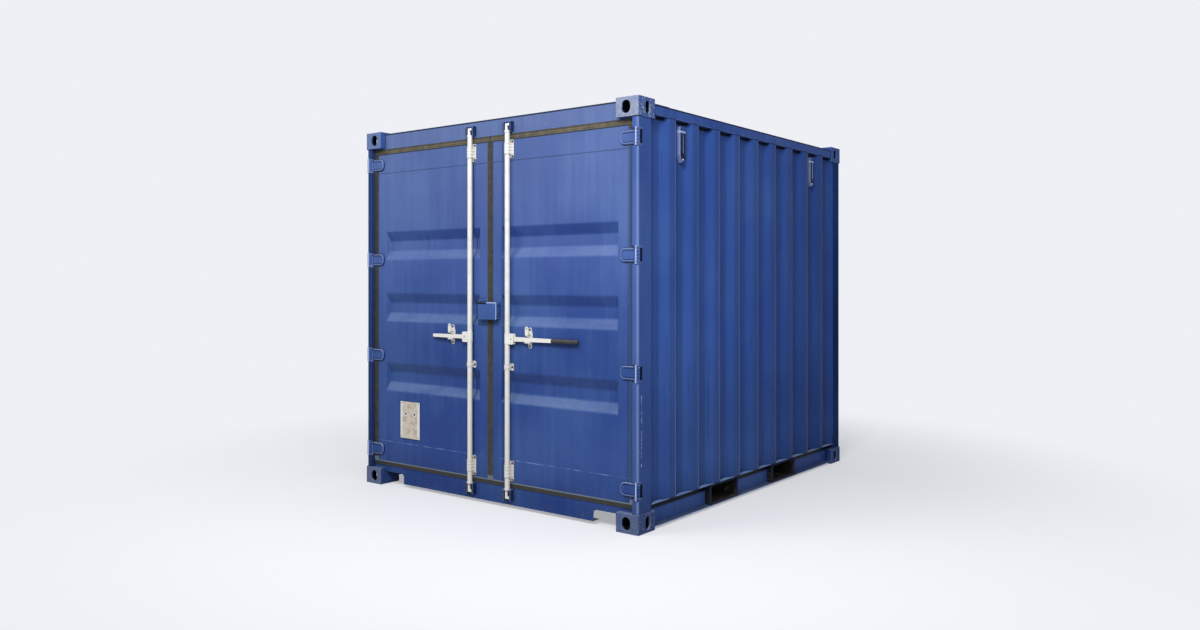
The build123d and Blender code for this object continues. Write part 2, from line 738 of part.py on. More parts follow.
# Doors
for side, side_name in SIDES:

    # Door frame: tube stiles at both edges, channels that open inwards at top and bottom
    with BuildPart() as door_frame:
        for x0, x1 in ((door_near, panel_near), (panel_far, door_edge)):
            with BuildSketch(Plane.XY.offset(door_bottom)):
                span(side * x0, side * x1, front_y(door_face), front_y(door_back))
                offset(amount=-frame_wall, mode=Mode.SUBTRACT)
            extrude(amount=door_top - door_bottom)
        with BuildSketch(Plane.YZ.offset(side * panel_near)):
            for z0, z1 in ((door_bottom, panel_bottom), (panel_top, door_top)):
                span(front_y(door_face), front_y(door_back), z0, z1)
                span(front_y(door_face + frame_wall), front_y(door_back),
                     z0 + frame_wall, z1 - frame_wall, Mode.SUBTRACT)
        extrude(amount=side * (panel_far - panel_near))
    save(door_frame, f"{side_name}_door_frame")

    # Door panel: a sheet flush with the frame, with three swages pressed inwards
    swage_middle = side * (swage_inner_x + swage_outer_x) / 2
    swage_length = swage_outer_x - swage_inner_x
    with BuildPart() as door_panel:
        with BuildSketch(front(door_face)):
            span(side * panel_near, side * panel_far, panel_bottom, panel_top)
        extrude(amount=-sheet)
        for bottom in swage_bottoms:
            middle = (swage_middle, bottom + swage_height / 2)
            for start, grow, mode in ((sheet, 2 * sheet, Mode.ADD), (0, 0, Mode.SUBTRACT)):
                with BuildSketch(front(door_face + start)) as mouth:
                    with Locations(middle):
                        Rectangle(swage_length + grow, swage_height)
                with BuildSketch(front(door_face + start + swage_depth)) as bed:
                    with Locations(middle):
                        Rectangle(swage_length - 2 * swage_end_slope + grow,
                                  swage_height - 2 * swage_slope)
                loft(sections=[mouth.sketch, bed.sketch], ruled=True, mode=mode)
    save(door_panel, f"{side_name}_door_panel")

    # Door gasket: a face lip over the frame's edge, a stem round the edge and a rear lip
    with BuildPart() as door_gasket:
        with BuildSketch(front(door_face)) as face_lip:
            span(side * gasket_middle_clear, side * gasket_far, gasket_bottom, gasket_top)
            fillet(face_lip.vertices().group_by(Axis.X)[0 if side < 0 else -1], gasket_corner)
            span(side * (door_near + gasket_overlap_middle), side * (door_edge - gasket_overlap),
                 door_bottom + gasket_overlap_bottom, door_top - gasket_overlap_top, Mode.SUBTRACT)
        extrude(amount=door_face - gasket_face)
        with BuildSketch(front(door_face)):
            span(side * (door_near - gasket_middle_stem), side * (door_edge + gasket_stem),
                 door_bottom - gasket_stem, door_top + gasket_stem)
            span(side * door_near, side * door_edge, door_bottom, door_top, Mode.SUBTRACT)
        extrude(amount=-gasket_depth)
        with BuildSketch(front(door_face + gasket_depth - gasket_lip)):
            span(side * (door_near - gasket_middle_stem), side * gasket_far,
                 gasket_bottom, gasket_top)
            span(side * door_near, side * door_edge, door_bottom, door_top, Mode.SUBTRACT)
        extrude(amount=-gasket_lip)
    save(door_gasket, f"{side_name}_door_gasket")

    # Hinge blades: a plate across gasket and door edge, with the barrel that takes the pin
    with BuildPart() as door_hinges:
        for z in hinge_heights:
            low, high = z - hinge_barrel_height / 2, z + hinge_barrel_height / 2
            with BuildSketch(front(door_face)) as blade:
                span(side * hinge_blade_end, side * hinge_x, low, high)
                fillet(blade.vertices().group_by(Axis.X)[0 if side > 0 else -1], hinge_blade_corner)
            extrude(amount=gasket_proud + hinge_blade)
            block(side * (door_edge - gasket_overlap - beyond), side * (hinge_x + beyond),
                  front_y(gasket_face), front_y(door_face + beyond), low, high, Mode.SUBTRACT)
            block(side * (hinge_x - hinge_barrel_radius), side * hinge_x,
                  front_y(hinge_depth), front_y(gasket_face), low, high)
            with Locations((side * hinge_x, front_y(hinge_depth), z)):
                Cylinder(hinge_barrel_radius, hinge_barrel_height)
                Cylinder(hinge_pin_radius + hinge_pin_clearance, hinge_barrel_height,
                         mode=Mode.SUBTRACT)
    save(door_hinges, f"{side_name}_door_hinges")

    # Rod brackets: a base plate on the door with a strap bent round the rod
    strap_inside = rod_radius + rod_clearance
    strap_outside = strap_inside + bracket_strap
    rod_y = front_y(rod_depth)
    with BuildPart() as rod_brackets:
        for bottom, plate_size, strap_height in brackets:
            with BuildSketch(front(door_face)) as base:
                span(side * rod_x - bracket_width / 2, side * rod_x + bracket_width / 2,
                     bottom, bottom + plate_size)
                fillet(base.vertices(), bracket_corner)
            extrude(amount=bracket_plate)
            with BuildSketch(Plane.XY.offset(bottom + (plate_size - strap_height) / 2)):
                with Locations((side * rod_x, rod_y)):
                    Circle(strap_outside)
                span(side * rod_x - strap_outside, side * rod_x + strap_outside,
                     rod_y, front_y(door_face - bracket_plate))
                with Locations((side * rod_x, rod_y)):
                    Circle(strap_inside, mode=Mode.SUBTRACT)
                span(side * rod_x - strap_inside, side * rod_x + strap_inside,
                     rod_y, front_y(door_face), Mode.SUBTRACT)
            extrude(amount=strap_height)
    save(rod_brackets, f"{side_name}_rod_brackets")

    # Lock rod: a tube with a cam at each end and the clevis with the handle's pin
    with BuildPart() as lock_rod:
        with Locations((side * rod_x, rod_y, (cam_bottom_base + cam_top_base) / 2)):
            Cylinder(rod_radius, cam_top_base - cam_bottom_base)
        with BuildSketch(front(rod_depth)) as ear:
            span(side * rod_x, side * clevis_end,
                 handle_z - clevis_height / 2, handle_z + clevis_height / 2)
            fillet(ear.vertices().group_by(Axis.X)[0 if side < 0 else -1], clevis_corner)
        extrude(amount=clevis_inside + clevis_ear, both=True)
        with Locations((side * rod_x, rod_y, handle_z)):
            Cylinder(clevis_hub_radius, clevis_height)
        block(side * (rod_x + clevis_hub_radius), side * (clevis_end + beyond),
              front_y(rod_depth - clevis_inside), front_y(rod_depth + clevis_inside),
              handle_z - clevis_height, handle_z + clevis_height, Mode.SUBTRACT)
        with Locations((side * rod_x, rod_y, (cam_bottom_base + cam_top_base) / 2)):
            Cylinder(rod_radius - rod_wall, cam_top_base - cam_bottom_base, mode=Mode.SUBTRACT)
        with BuildSketch(front(rod_depth)):
            with Locations((side * handle_pivot_x, handle_z)):
                Circle(handle_pin_radius)
        extrude(amount=clevis_inside + clevis_ear, both=True)
        for base, tip in cams:
            out = 1 if tip > base else -1
            with BuildSketch(Plane.XY.offset(base)):
                with Locations((side * rod_x, rod_y)):
                    Circle(cam_flange_radius)
            extrude(amount=out * cam_flange)
            with BuildSketch(Plane.XY.offset(base + out * cam_flange)):
                with Locations((side * rod_x + cam_stem_offset, rod_y)):
                    Circle(cam_stem_radius)
            extrude(amount=tip - base - out * cam_flange)
            with BuildSketch(Plane.XY.offset(tip)):
                with Locations((side * rod_x + (cam_reach + cam_stem_offset - cam_stem_radius) / 2,
                                rod_y)):
                    SlotOverall(cam_reach - cam_stem_offset + cam_stem_radius, 2 * cam_stem_radius)
            extrude(amount=-out * cam_finger)
    save(lock_rod, f"{side_name}_lock_rod")

    # Handle: a flat bar that tapers from its eye to its tip
    handle_end = left_handle_end if side < 0 else right_handle_end
    with BuildPart() as handle:
        with BuildSketch(front(rod_depth)):
            with BuildLine():
                Polyline((side * handle_pivot_x, handle_z - handle_eye),
                         (side * handle_end, handle_z - handle_tip_half),
                         (side * handle_end, handle_z + handle_tip_half),
                         (side * handle_pivot_x, handle_z + handle_eye), close=True)
            make_face()
            with Locations((side * handle_pivot_x, handle_z)):
                Circle(handle_eye)
                Circle(handle_pin_radius + pin_clearance, mode=Mode.SUBTRACT)
        extrude(amount=handle_thickness / 2, both=True)
        if side > 0:
            with BuildSketch(Plane.YZ.offset(handle_end)):
                with Locations((rod_y, handle_z)):
                    Circle(handle_thickness / 2)
            extrude(amount=shank_end - handle_end)
        else:
            fillet(handle.edges().filter_by(Axis.Y).group_by(Axis.X)[0], handle_tip_corner)
    save(handle, f"{side_name}_handle")

    # Handle retainer: a plate with the ledge that carries the handle and the hasp's pin
    ledge_reach = retainer_x - ledge_length / 2
    bar_half = handle_eye + (handle_tip_half - handle_eye) * (
        (ledge_reach - handle_pivot_x) / (handle_end - handle_pivot_x))
    ledge_top = handle_z - bar_half - handle_rest_clearance
    with BuildPart() as handle_retainer:
        with BuildSketch(front(door_face)) as lozenge:
            retainer_outline(side * retainer_x)
            fillet(lozenge.vertices().group_by(Axis.Y)[0], retainer_corner)
            fillet(lozenge.vertices().group_by(Axis.Y)[-1], retainer_corner)
        extrude(amount=bracket_plate)
        block(side * ledge_reach, side * (ledge_reach + ledge_length),
              front_y(ledge_front), front_y(retainer_face), ledge_top - ledge_thickness, ledge_top)
        for start, end, radius in ((retainer_face, hasp_back + hasp_play, hasp_pin_shoulder),
                                   (retainer_face, hasp_front - hasp_play, hasp_pin_radius),
                                   (hasp_front - hasp_play,
                                    hasp_front - hasp_play - hasp_pin_head_thickness, hasp_pin_head)):
            with BuildSketch(front(start)):
                with Locations((side * retainer_x, hasp_pin_z)):
                    Circle(radius)
            extrude(amount=start - end)
    save(handle_retainer, f"{side_name}_handle_retainer")

    # Hasp: a short link on the retainer's pin, turned up, with the hole for a seal at its free end
    with BuildPart() as hasp:
        with BuildSketch(front(hasp_back)):
            with Locations((side * retainer_x, hasp_pin_z + hasp_length / 2)):
                SlotOverall(hasp_length + 2 * hasp_half_width, 2 * hasp_half_width, rotation=90)
            with Locations((side * retainer_x, hasp_pin_z)):
                Circle(hasp_pin_radius + pin_clearance, mode=Mode.SUBTRACT)
            with Locations((side * retainer_x, hasp_pin_z + hasp_length)):
                Circle(hasp_seal_hole, mode=Mode.SUBTRACT)
        extrude(amount=hasp_back - hasp_front)
    save(hasp, f"{side_name}_hasp")

    # Half of the lock box: a shroud open below and towards the other door, with its tongue
    with BuildPart() as lock_box:
        with BuildSketch(front(door_face)) as outline:
            span(side * lock_box_inner, side * lock_box_outer, lock_box_bottom, lock_box_top)
            outer_corners = outline.vertices().group_by(Axis.X)[0 if side < 0 else -1]
            fillet(outer_corners, lock_box_corner)
        extrude(amount=door_face - lock_box_front)
        block(side * (lock_box_inner - beyond), side * (lock_box_outer - lock_box_wall),
              front_y(lock_box_front + lock_box_wall), front_y(door_face + beyond),
              lock_box_bottom - beyond, lock_box_top - lock_box_wall, Mode.SUBTRACT)
        below, above, beside = lock_plate_margins[side_name]
        with BuildSketch(front(door_face)):
            span(side * lock_plate_inner, side * (lock_box_outer + beside),
                 lock_box_bottom - below, lock_box_top + above)
        extrude(amount=bracket_plate)
        with BuildSketch(Plane.YZ.offset(side * tongue_x)):
            span(front_y(lock_box_front + 2 * lock_box_wall), front_y(door_face),
                 tongue_bottom, tongue_top)
            with Locations((front_y((lock_box_front + door_face) / 2),
                            (tongue_bottom + tongue_top) / 2)):
                Circle(tongue_hole, mode=Mode.SUBTRACT)
        extrude(amount=side * tongue_thickness)
        block(side * (lock_box_inner - beyond), side * lock_plate_inner,
              front_y(gasket_face - lock_plate_to_gasket), front_y(door_face + beyond),
              lock_box_bottom - beyond, lock_box_top + beyond, Mode.SUBTRACT)
    save(lock_box, f"{side_name}_lock_box")

# Grip: a round sleeve over the shank of the right handle
with BuildPart() as handle_grip:
    with BuildSketch(Plane.YZ.offset(right_handle_end)):
        with Locations((front_y(rod_depth), handle_z)):
            Circle(grip_radius)
    extrude(amount=grip_end - right_handle_end)
    chamfer(handle_grip.edges().filter_by(GeomType.CIRCLE), grip_edge)
    with BuildSketch(Plane.YZ.offset(right_handle_end)):
        with Locations((front_y(rod_depth), handle_z)):
            Circle(handle_thickness / 2 + shank_clearance)
    extrude(amount=shank_end + shank_clearance - right_handle_end, mode=Mode.SUBTRACT)
save(handle_grip, "right_handle_grip")

# Data plate on the left door
with BuildPart() as data_plate:
    with BuildSketch(front(door_face)):
        with Locations((plate_x, plate_bottom + plate_height / 2)):
            Rectangle(plate_width, plate_height)
    extrude(amount=plate_thickness)
save(data_plate, "data_plate")
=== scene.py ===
# %% [markdown]
# # A blue ten-foot shipping container
#
# The CAD model gives every part its true size and place. This script adds what a drawing leaves
# out: rounded edges, the bends of pressed sheet, weld beads, bolts and rivets, moulded rubber,
# and the finishes of a box that has stood outdoors for some years.
#
# Everything is in metres. X runs across the doors, to the right as seen from outside, Y runs
# from the doors to the blind end, and Z is up.

# %% Load the packed model
import json
import math

import bmesh
import bpy
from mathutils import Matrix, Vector

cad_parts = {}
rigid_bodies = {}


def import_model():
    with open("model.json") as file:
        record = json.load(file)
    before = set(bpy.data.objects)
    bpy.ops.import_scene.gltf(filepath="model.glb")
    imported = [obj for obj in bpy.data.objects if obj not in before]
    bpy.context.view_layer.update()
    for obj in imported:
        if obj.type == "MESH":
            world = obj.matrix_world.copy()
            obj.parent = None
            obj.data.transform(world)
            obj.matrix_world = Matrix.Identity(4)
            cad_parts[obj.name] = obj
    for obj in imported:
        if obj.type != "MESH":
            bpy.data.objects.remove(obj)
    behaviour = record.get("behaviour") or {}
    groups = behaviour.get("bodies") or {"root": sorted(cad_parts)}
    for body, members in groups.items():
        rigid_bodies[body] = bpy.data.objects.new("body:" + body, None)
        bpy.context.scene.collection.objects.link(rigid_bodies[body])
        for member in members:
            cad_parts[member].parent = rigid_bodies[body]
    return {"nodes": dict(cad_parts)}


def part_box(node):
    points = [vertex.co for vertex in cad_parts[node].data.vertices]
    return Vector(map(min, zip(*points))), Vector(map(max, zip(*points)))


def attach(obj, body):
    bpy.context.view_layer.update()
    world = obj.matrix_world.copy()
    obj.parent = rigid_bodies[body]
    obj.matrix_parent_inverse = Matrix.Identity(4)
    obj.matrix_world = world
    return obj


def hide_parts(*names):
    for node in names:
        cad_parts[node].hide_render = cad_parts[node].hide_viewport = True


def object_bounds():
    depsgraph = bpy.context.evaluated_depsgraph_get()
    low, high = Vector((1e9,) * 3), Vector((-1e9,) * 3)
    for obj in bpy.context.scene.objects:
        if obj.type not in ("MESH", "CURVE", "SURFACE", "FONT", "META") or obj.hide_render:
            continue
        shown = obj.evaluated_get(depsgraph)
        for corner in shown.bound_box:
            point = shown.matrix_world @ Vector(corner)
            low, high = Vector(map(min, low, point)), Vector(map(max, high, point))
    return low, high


mm = 0.001
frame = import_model()
cad_low, cad_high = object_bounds()
nodes = frame["nodes"]
sides = ((-1, "left"), (1, "right"))
print(len(nodes), "CAD nodes in a box of", [round(size, 3) for size in cad_high - cad_low])

# %% [markdown]
# ## Camera
#
# The photograph was taken from about eye height, level, and cropped afterwards. A level camera
# keeps the upright edges of a box parallel in the picture, and the crop is the reason why the
# lens axis isn't in the middle of the picture. Blender has lens shift for that, so the camera
# stays level here too and the picture is shifted instead of tilting the camera.

# %% Camera
photo_width, photo_height = 1200, 630
focal_length_pixels = 954.5
axis_pixel_x, axis_pixel_y = 564.9, 280.0
eye = Vector((4.359, -6.151, 1.503))
heading = math.radians(38.4)

camera_data = bpy.data.cameras.new("photo_camera")
camera_data.sensor_width = 36.0
camera_data.lens = focal_length_pixels / photo_width * camera_data.sensor_width
camera_data.shift_x = (photo_width / 2 - axis_pixel_x) / photo_width
camera_data.shift_y = (axis_pixel_y - photo_height / 2) / photo_width
camera = bpy.data.objects.new("photo_camera", camera_data)
camera.location = eye
camera.rotation_euler = (math.pi / 2, 0, heading)
bpy.context.collection.objects.link(camera)
bpy.context.scene.camera = camera
bpy.context.scene.view_settings.view_transform = "Standard"
print("lens", round(camera_data.lens, 2), "mm")

# %% [markdown]
# ## Sums with nodes
#
# A finish is a long chain of small nodes, and linking them one by one hides the idea. The class
# below wraps one socket of a node tree. Python's operators on it add Math nodes, so a mask can
# be written as `1 - dust * 0.5`. Any other node comes from one method, `node`, which takes the
# node's type, its settings and what goes into its sockets. The same class serves for shaders
# and for Geometry Nodes, because both have the same Math node.
#
# Most masks start or stop at some edge of a part. `past` is such a soft step, and says by how many
# millimetres it lies beyond the edge, and `near` is a soft line of some millimetres.

# %% A socket that can be used in sums
class Wire:
    """One socket of a node tree."""

    def __init__(self, tree, socket=None):
        self.tree = tree
        self.socket = socket

    def node(self, kind, settings, sockets, out=0):
        """Adds a node, makes its settings, and then gives its sockets their values or links."""
        made = self.tree.nodes.new(kind)
        for name, value in settings.items():
            setattr(made, name, value)
        for name, value in sockets.items():
            for item in value if isinstance(value, list) else [value]:
                if isinstance(item, Wire):
                    self.tree.links.new(item.socket, made.inputs[name])
                else:
                    made.inputs[name].default_value = item
        return Wire(self.tree, made.outputs[out])

    def math(self, operation, first, second=0.0, third=0.0):
        sockets = {0: first, 1: second, 2: third}
        return self.node("ShaderNodeMath", {"operation": operation}, sockets)

    def __add__(self, other):
        return self.math("ADD", self, other)

    def __radd__(self, other):
        return self.math("ADD", other, self)

    def __sub__(self, other):
        return self.math("SUBTRACT", self, other)

    def __rsub__(self, other):
        return self.math("SUBTRACT", other, self)

    def __mul__(self, other):
        return self.math("MULTIPLY", self, other)

    def __rmul__(self, other):
        return self.math("MULTIPLY", other, self)

    def __truediv__(self, other):
        return self.math("DIVIDE", self, other)

    def __rtruediv__(self, other):
        return self.math("DIVIDE", other, self)

    def __abs__(self):
        return self.math("ABSOLUTE", self)

    def rise(self, low, high):
        """A soft step from 0 at low to 1 at high; with low above high it falls instead."""
        step = {"interpolation_type": "SMOOTHSTEP"}
        return self.node("ShaderNodeMapRange", step, {0: self, 1: low, 2: high})

    def past(self, edge, low, high):
        """A soft step whose ends lie low and high millimetres beyond an edge."""
        return self.rise(edge + low * mm, edge + high * mm)

    def near(self, line, outer, inner):
        """1 within inner millimetres of a line, and 0 beyond outer millimetres."""
        return abs(self - line).past(0, outer, inner)

    def over(self, ground, coat):
        """The coat's colour where this mask is 1, on the ground's colour where it is 0."""
        return self.node("ShaderNodeMix", {"data_type": "RGBA"}, {0: self, 6: ground, 7: coat}, 2)

    def scaled(self, factor):
        """This colour or vector times a number."""
        return self.node("ShaderNodeVectorMath", {"operation": "SCALE"}, {0: self, 3: factor})

    def axis(self, letter):
        return self.node("ShaderNodeSeparateXYZ", {}, {0: self}, letter)

    def mark(self, name):
        """An attribute that the pieces carry, such as worn."""
        return self.node("ShaderNodeAttribute", {"attribute_name": name}, {}, "Fac")

    def vector(self, x, y, z):
        """Three numbers or wires as one vector, in this wire's tree."""
        return self.node("ShaderNodeCombineXYZ", {}, {0: x, 1: y, 2: z})

    def blotches(self, size, detail=2.0, stretch=(1, 1, 1), moved=0.0):
        """Soft noise around 0.5 in blotches of this size, drawn out along an axis by stretch."""
        grain = tuple(1 / (size * longer) for longer in stretch)
        place = self.node("ShaderNodeMapping", {}, {0: self, 1: (moved, moved, moved), 3: grain})
        return self.node("ShaderNodeTexNoise", {}, {0: place, 2: 1.0, 3: detail, 4: 0.55})

    def bump(self, height):
        """The surface's normal after it is raised by this height, in metres."""
        return self.node("ShaderNodeBump", {}, {"Strength": 1.0, "Distance": 1.0, "Height": height})


def colour(red, green, blue):
    """A colour in linear light, as a socket wants it."""
    return (red, green, blue, 1.0)


def new_finish(name):
    """A new material, its shader, and each point's place on the piece as a wire."""
    material = bpy.data.materials.new(name)
    material.use_nodes = True
    shader = material.node_tree.nodes["Principled BSDF"]
    place = Wire(material.node_tree).node("ShaderNodeTexCoord", {}, {}, "Object")
    return material, shader, place


def feed(shader, **sockets):
    """Links wires to a shader's sockets, or sets plain values on them."""
    for name, value in sockets.items():
        socket = shader.inputs[name.replace("_", " ")]
        if isinstance(value, Wire):
            value.tree.links.new(value.socket, socket)
        else:
            socket.default_value = value


print("Wire offers", [name for name in vars(Wire) if not name.startswith("__")])

# %% [markdown]
# ## Studio
#
# The photograph is a cut-out on a pale ground, lit by a soft sky from the left of the doors.
# Four large lamps stand for that sky. The first two light the doors, one from the left and one
# from the front. The long side gets only a weak lamp from the right, whose light falls off towards
# the far end as it does in the photograph, and the last lamp lights the roof from above.
# The pale ground itself is only what the camera, and gloss, see of the world: the rays that
# light the box get a dimmer, even light, so that the paint keeps its depth.

# %% World and lamps
pale_ground = colour(0.855, 0.871, 0.913)
world_light = 0.33

world = bpy.data.worlds.new("studio")
world.use_nodes = True
bpy.context.scene.world = world
sky = world.node_tree.nodes["Background"]
seen = Wire(world.node_tree)
camera_ray = seen.node("ShaderNodeLightPath", {}, {}, "Is Camera Ray")
glossy_ray = seen.node("ShaderNodeLightPath", {}, {}, "Is Glossy Ray")
clear_ray = seen.node("ShaderNodeLightPath", {}, {}, "Is Transmission Ray")
shown = seen.math("MINIMUM", camera_ray + glossy_ray + clear_ray, 1.0)
even_light = colour(0.97 * world_light, 0.98 * world_light, 1.03 * world_light)
world.node_tree.links.new(shown.over(even_light, pale_ground).socket, sky.inputs["Color"])


def soft_box(name, place, target, size, power):
    """A rectangular lamp that faces its target."""
    lamp = bpy.data.lights.new(name, "AREA")
    lamp.shape = "RECTANGLE"
    lamp.size, lamp.size_y = size
    lamp.energy = power
    stand = bpy.data.objects.new(name, lamp)
    stand.location = place
    stand.rotation_euler = (Vector(target) - Vector(place)).to_track_quat("-Z", "Y").to_euler()
    bpy.context.collection.objects.link(stand)


soft_box("sky_left", (-3.0, -6.0, 7.4), (0, -1.2, 1.5), (4.0, 2.6), 300)
soft_box("fill_front", (3.0, -6.0, 5.6), (1.0, -1.2, 1.3), (1.6, 1.6), 400)
soft_box("fill_right", (4.7, -4.3, 3.4), (1.2, -0.8, 1.2), (1.6, 1.6), 75)
soft_box("sky_top", (0.5, 0.5, 8.0), (0, 0, 0), (6.0, 6.0), 240)
print("lamps", [item.name for item in bpy.data.lights])

# %% Floor that fades out into the pale ground
floor_radius = 9.0
floor_clear_from, floor_clear_to = 2.0, 4.6
floor_strength = 0.55

floor_shape = bmesh.new()
bmesh.ops.create_circle(floor_shape, cap_ends=True, segments=96, radius=floor_radius)
floor_mesh = bpy.data.meshes.new("studio_floor")
floor_shape.to_mesh(floor_mesh)
floor_shape.free()
floor = bpy.data.objects.new("studio_floor", floor_mesh)
bpy.context.collection.objects.link(floor)

floor_finish, shader, place = new_finish("floor_paper")
from_middle = place.node("ShaderNodeVectorMath", {"operation": "LENGTH"}, {0: place}, "Value")
feed(shader, Base_Color=colour(0.66, 0.67, 0.69), Roughness=0.9, Specular_IOR_Level=0.0,
     Alpha=from_middle.rise(floor_clear_to, floor_clear_from) * floor_strength)
floor_mesh.materials.append(floor_finish)
print("floor fades out between", floor_clear_from, "and", floor_clear_to, "m")

# %% [markdown]
# ## Finishes
#
# The whole shell is painted in one satin blue. Out of doors such paint chalks in clouds, rain
# draws faint upright streaks in it, dust stays on whatever looks up, and dirt is thrown up from
# the ground. On edges it chips, first to the pale primer and then to rust. All of that could be
# painted by hand on each part, but here each effect is a mask from noise at the size that the
# real one has, on Object coordinates in metres, so one recipe fits every part. Edges are the
# exception, because noise can't find them: the pieces carry an attribute, worn, which is 1 on
# their rounded edges. Light and shade are painted in too: rounded edges and upper parts are
# paler partly as painted highlights and sheen, the paint is darker towards the bottom, and
# further masks paint shade into holes, gaps and recesses and highlights onto bends, rims,
# barrels and seams.

# %% Where shade and highlights are painted in, and where paint is rubbed off
casting_low, casting_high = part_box("top_casting_left_door")
casting_outer_x, casting_inner_x = -casting_low.x, -casting_high.x
casting_outer_y, casting_inner_y = -casting_low.y, -casting_high.y
middle_height = cad_high.z / 2
wall_low, wall_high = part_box("side_wall_right")
wall_outer_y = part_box("end_wall")[1].y
rail_low, rail_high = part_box("bottom_side_rail_right")
top_rail_low, top_rail_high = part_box("top_side_rail_right")
header_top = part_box("door_header")[1].z
post_low, post_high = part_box("door_post_right")
panel_low, panel_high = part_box("right_door_panel")
frame_low, frame_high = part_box("right_door_frame")
cover_low, cover_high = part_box("right_lock_box")
plate_low, plate_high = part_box("data_plate")
plate_middle, plate_half = (plate_low + plate_high) / 2, (plate_high - plate_low) / 2
plate_shadow_shift = 3 * mm
vent_low, vent_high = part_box("ventilators")
vent_middle = vent_high.y - 33 * mm
hinge_low, hinge_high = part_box("right_door_hinges")
barrel_middle = hinge_high.x - 18 * mm
blade_half, blade_thickness, blade_corner, blade_tip = 40 * mm, 8 * mm, 30 * mm, 1066 * mm
blade_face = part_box("right_door_gasket")[0].y - blade_thickness
lip_over = {"middle": 19 * mm, "far": 22 * mm, "low": 16 * mm, "high": 19 * mm}
rim_inset, rim_radius, rim_end = 5 * mm, 2.6 * mm, 1184 * mm
lowest_hinge, highest_hinge = hinge_low.z + blade_half, hinge_high.z - blade_half
hinge_shares = (0, 0.331, 0.666, 1)
hinge_middles = [lowest_hinge + share * (highest_hinge - lowest_hinge) for share in hinge_shares]
knuckle_pitch = 20 * mm
rod_shadow_lines = (-156 * mm, 112 * mm)
scratch_y, scratch_middle = -1456.6 * mm, 609 * mm
far_shade_from, far_shade_to = -0.5, 1.3
chalk_and_highlight_patch, rub_size, seam_break = 0.12, 45 * mm, 60 * mm
speck_size, dot_size = 13 * mm, 11 * mm
rim_shadow_from_middle, bar_off_middle, sill_under_top = 27 * mm, 4 * mm, 32 * mm


def smaller(first, *others):
    """The smallest of some wires."""
    for other in others:
        first = first.math("MINIMUM", first, other)
    return first


def larger(first, *others):
    """The largest of some wires."""
    for other in others:
        first = first.math("MAXIMUM", first, other)
    return first


def mirrored(place):
    """Across and along without their signs, and the height, for what is the same on all sides."""
    return abs(place.axis("X")), abs(place.axis("Y")), place.axis("Z")


def from_hinge(place):
    """How far a point lies above or below the middle of the nearest hinge."""
    return smaller(*[abs(place.axis("Z") - middle) for middle in hinge_middles])


def own_normal(place):
    """The way a face looks in its piece's own frame, so that finishes stay put on an open door."""
    normal = place.node("ShaderNodeNewGeometry", {}, {}, "Normal")
    turned = {"vector_type": "NORMAL", "convert_from": "WORLD", "convert_to": "OBJECT"}
    return place.node("ShaderNodeVectorTransform", turned, {"Vector": normal}, "Vector")


def facing_doors(place):
    """1 on faces that look the way the closed doors look."""
    return own_normal(place).axis("Y").rise(-0.3, -0.8)


def casting_hollow_shade(place):
    """How far inside a casting's box a point lies: painted shade darkens its holes and its hollow."""
    across, along, height = mirrored(place)
    up = abs(height - middle_height)
    depth = smaller(casting_outer_x - across, across - casting_inner_x,
                    casting_outer_y - along, along - casting_inner_y,
                    middle_height - up, up - (casting_low.z - middle_height))
    return depth.past(0, 4, 15)


def under_rail_shade(place):
    """Painted shade on the pressed-in part of a wall right under the top rail, and painted shade that
    grows towards the blind end.
    """
    across, along, height = mirrored(place)
    pressed_in = smaller(wall_high.x - across, wall_outer_y - along).past(0, 7, 22)
    # Painted shade that grows towards the blind end.
    grime = place.axis("Y").rise(far_shade_from, far_shade_to) * 0.2
    return larger(height.past(wall_high.z, -28, -12) * pressed_in, grime)


def frame_shadows(place):
    """Under the bottom rail's upper flange, and the top edges of header and top rails."""
    across, along, height = mirrored(place)
    on_rail = along.past(rail_high.y, 5.5, -4.5)
    web = height.past(rail_high.z, -60, -40) * height.past(rail_high.z, -1.5, -3)
    web = web * across.past(rail_high.x, -11, -23) * on_rail
    flange = height.past(rail_low.z, 18, 8) * across.past(rail_high.x, -1, -4)
    flange = flange * across.past(rail_low.x, 3, 7) * on_rail * 0.6
    header = height.past(header_top, -15, -9) * facing_doors(place)
    rails = height.past(top_rail_high.z, -9, -5) * across.past(top_rail_low.x, -5, 5)
    return larger(larger(header, rails) * 0.85, web, flange)


def far_bend_highlights(place):
    """Painted highlights, in patches, on the bends of a wall's ribs that look away from the doors."""
    away = own_normal(place).axis("Y").rise(0.02, 0.12)
    patches = place.blotches(chalk_and_highlight_patch, 3.0, stretch=(1, 1, 3), moved=6.6) * 0.6 + 0.35
    return place.mark("bend") * away * patches


def door_shadows(place):
    """Painted shadows: the dark line over the pressed panel, a line beside each rod, and soft
    shadows round the plate, round the hinges' blades and beside the gasket."""
    x, height = place.axis("X"), place.axis("Z")
    seam = height.near(panel_high.z, 4.5, 2) * 0.45
    # A painted shadow beside each rod.
    rod_shadows = larger(*[x.near(line, 8, 3) for line in rod_shadow_lines]) * 0.55
    past_plate = larger(abs(x - (plate_middle.x + plate_shadow_shift)) - plate_half.x,
                        abs(height - (plate_middle.z - plate_shadow_shift)) - plate_half.z)
    beyond_blade = larger(blade_tip + blade_corner - abs(x), 0.0)
    beside_blade = larger(from_hinge(place) - (blade_half - blade_corner), 0.0)
    past_blade = x.math("SQRT", beyond_blade * beyond_blade + beside_blade * beside_blade)
    return larger(seam, rod_shadows, past_plate.past(0, 9, 3) * 0.6,
                  past_blade.past(blade_corner, 9, 3) * 0.5, x.past(frame_high.x, -50, -20) * 0.3)


def lower_seam_highlight(place):
    """A painted highlight, broken in places, along the line where the pressed panel meets the door's
    bottom rail.
    """
    broken = place.blotches(seam_break, 3.0, moved=4.0).rise(0.40, 0.62)
    return place.axis("Z").near(panel_low.z, 4, 2) * broken * 0.45


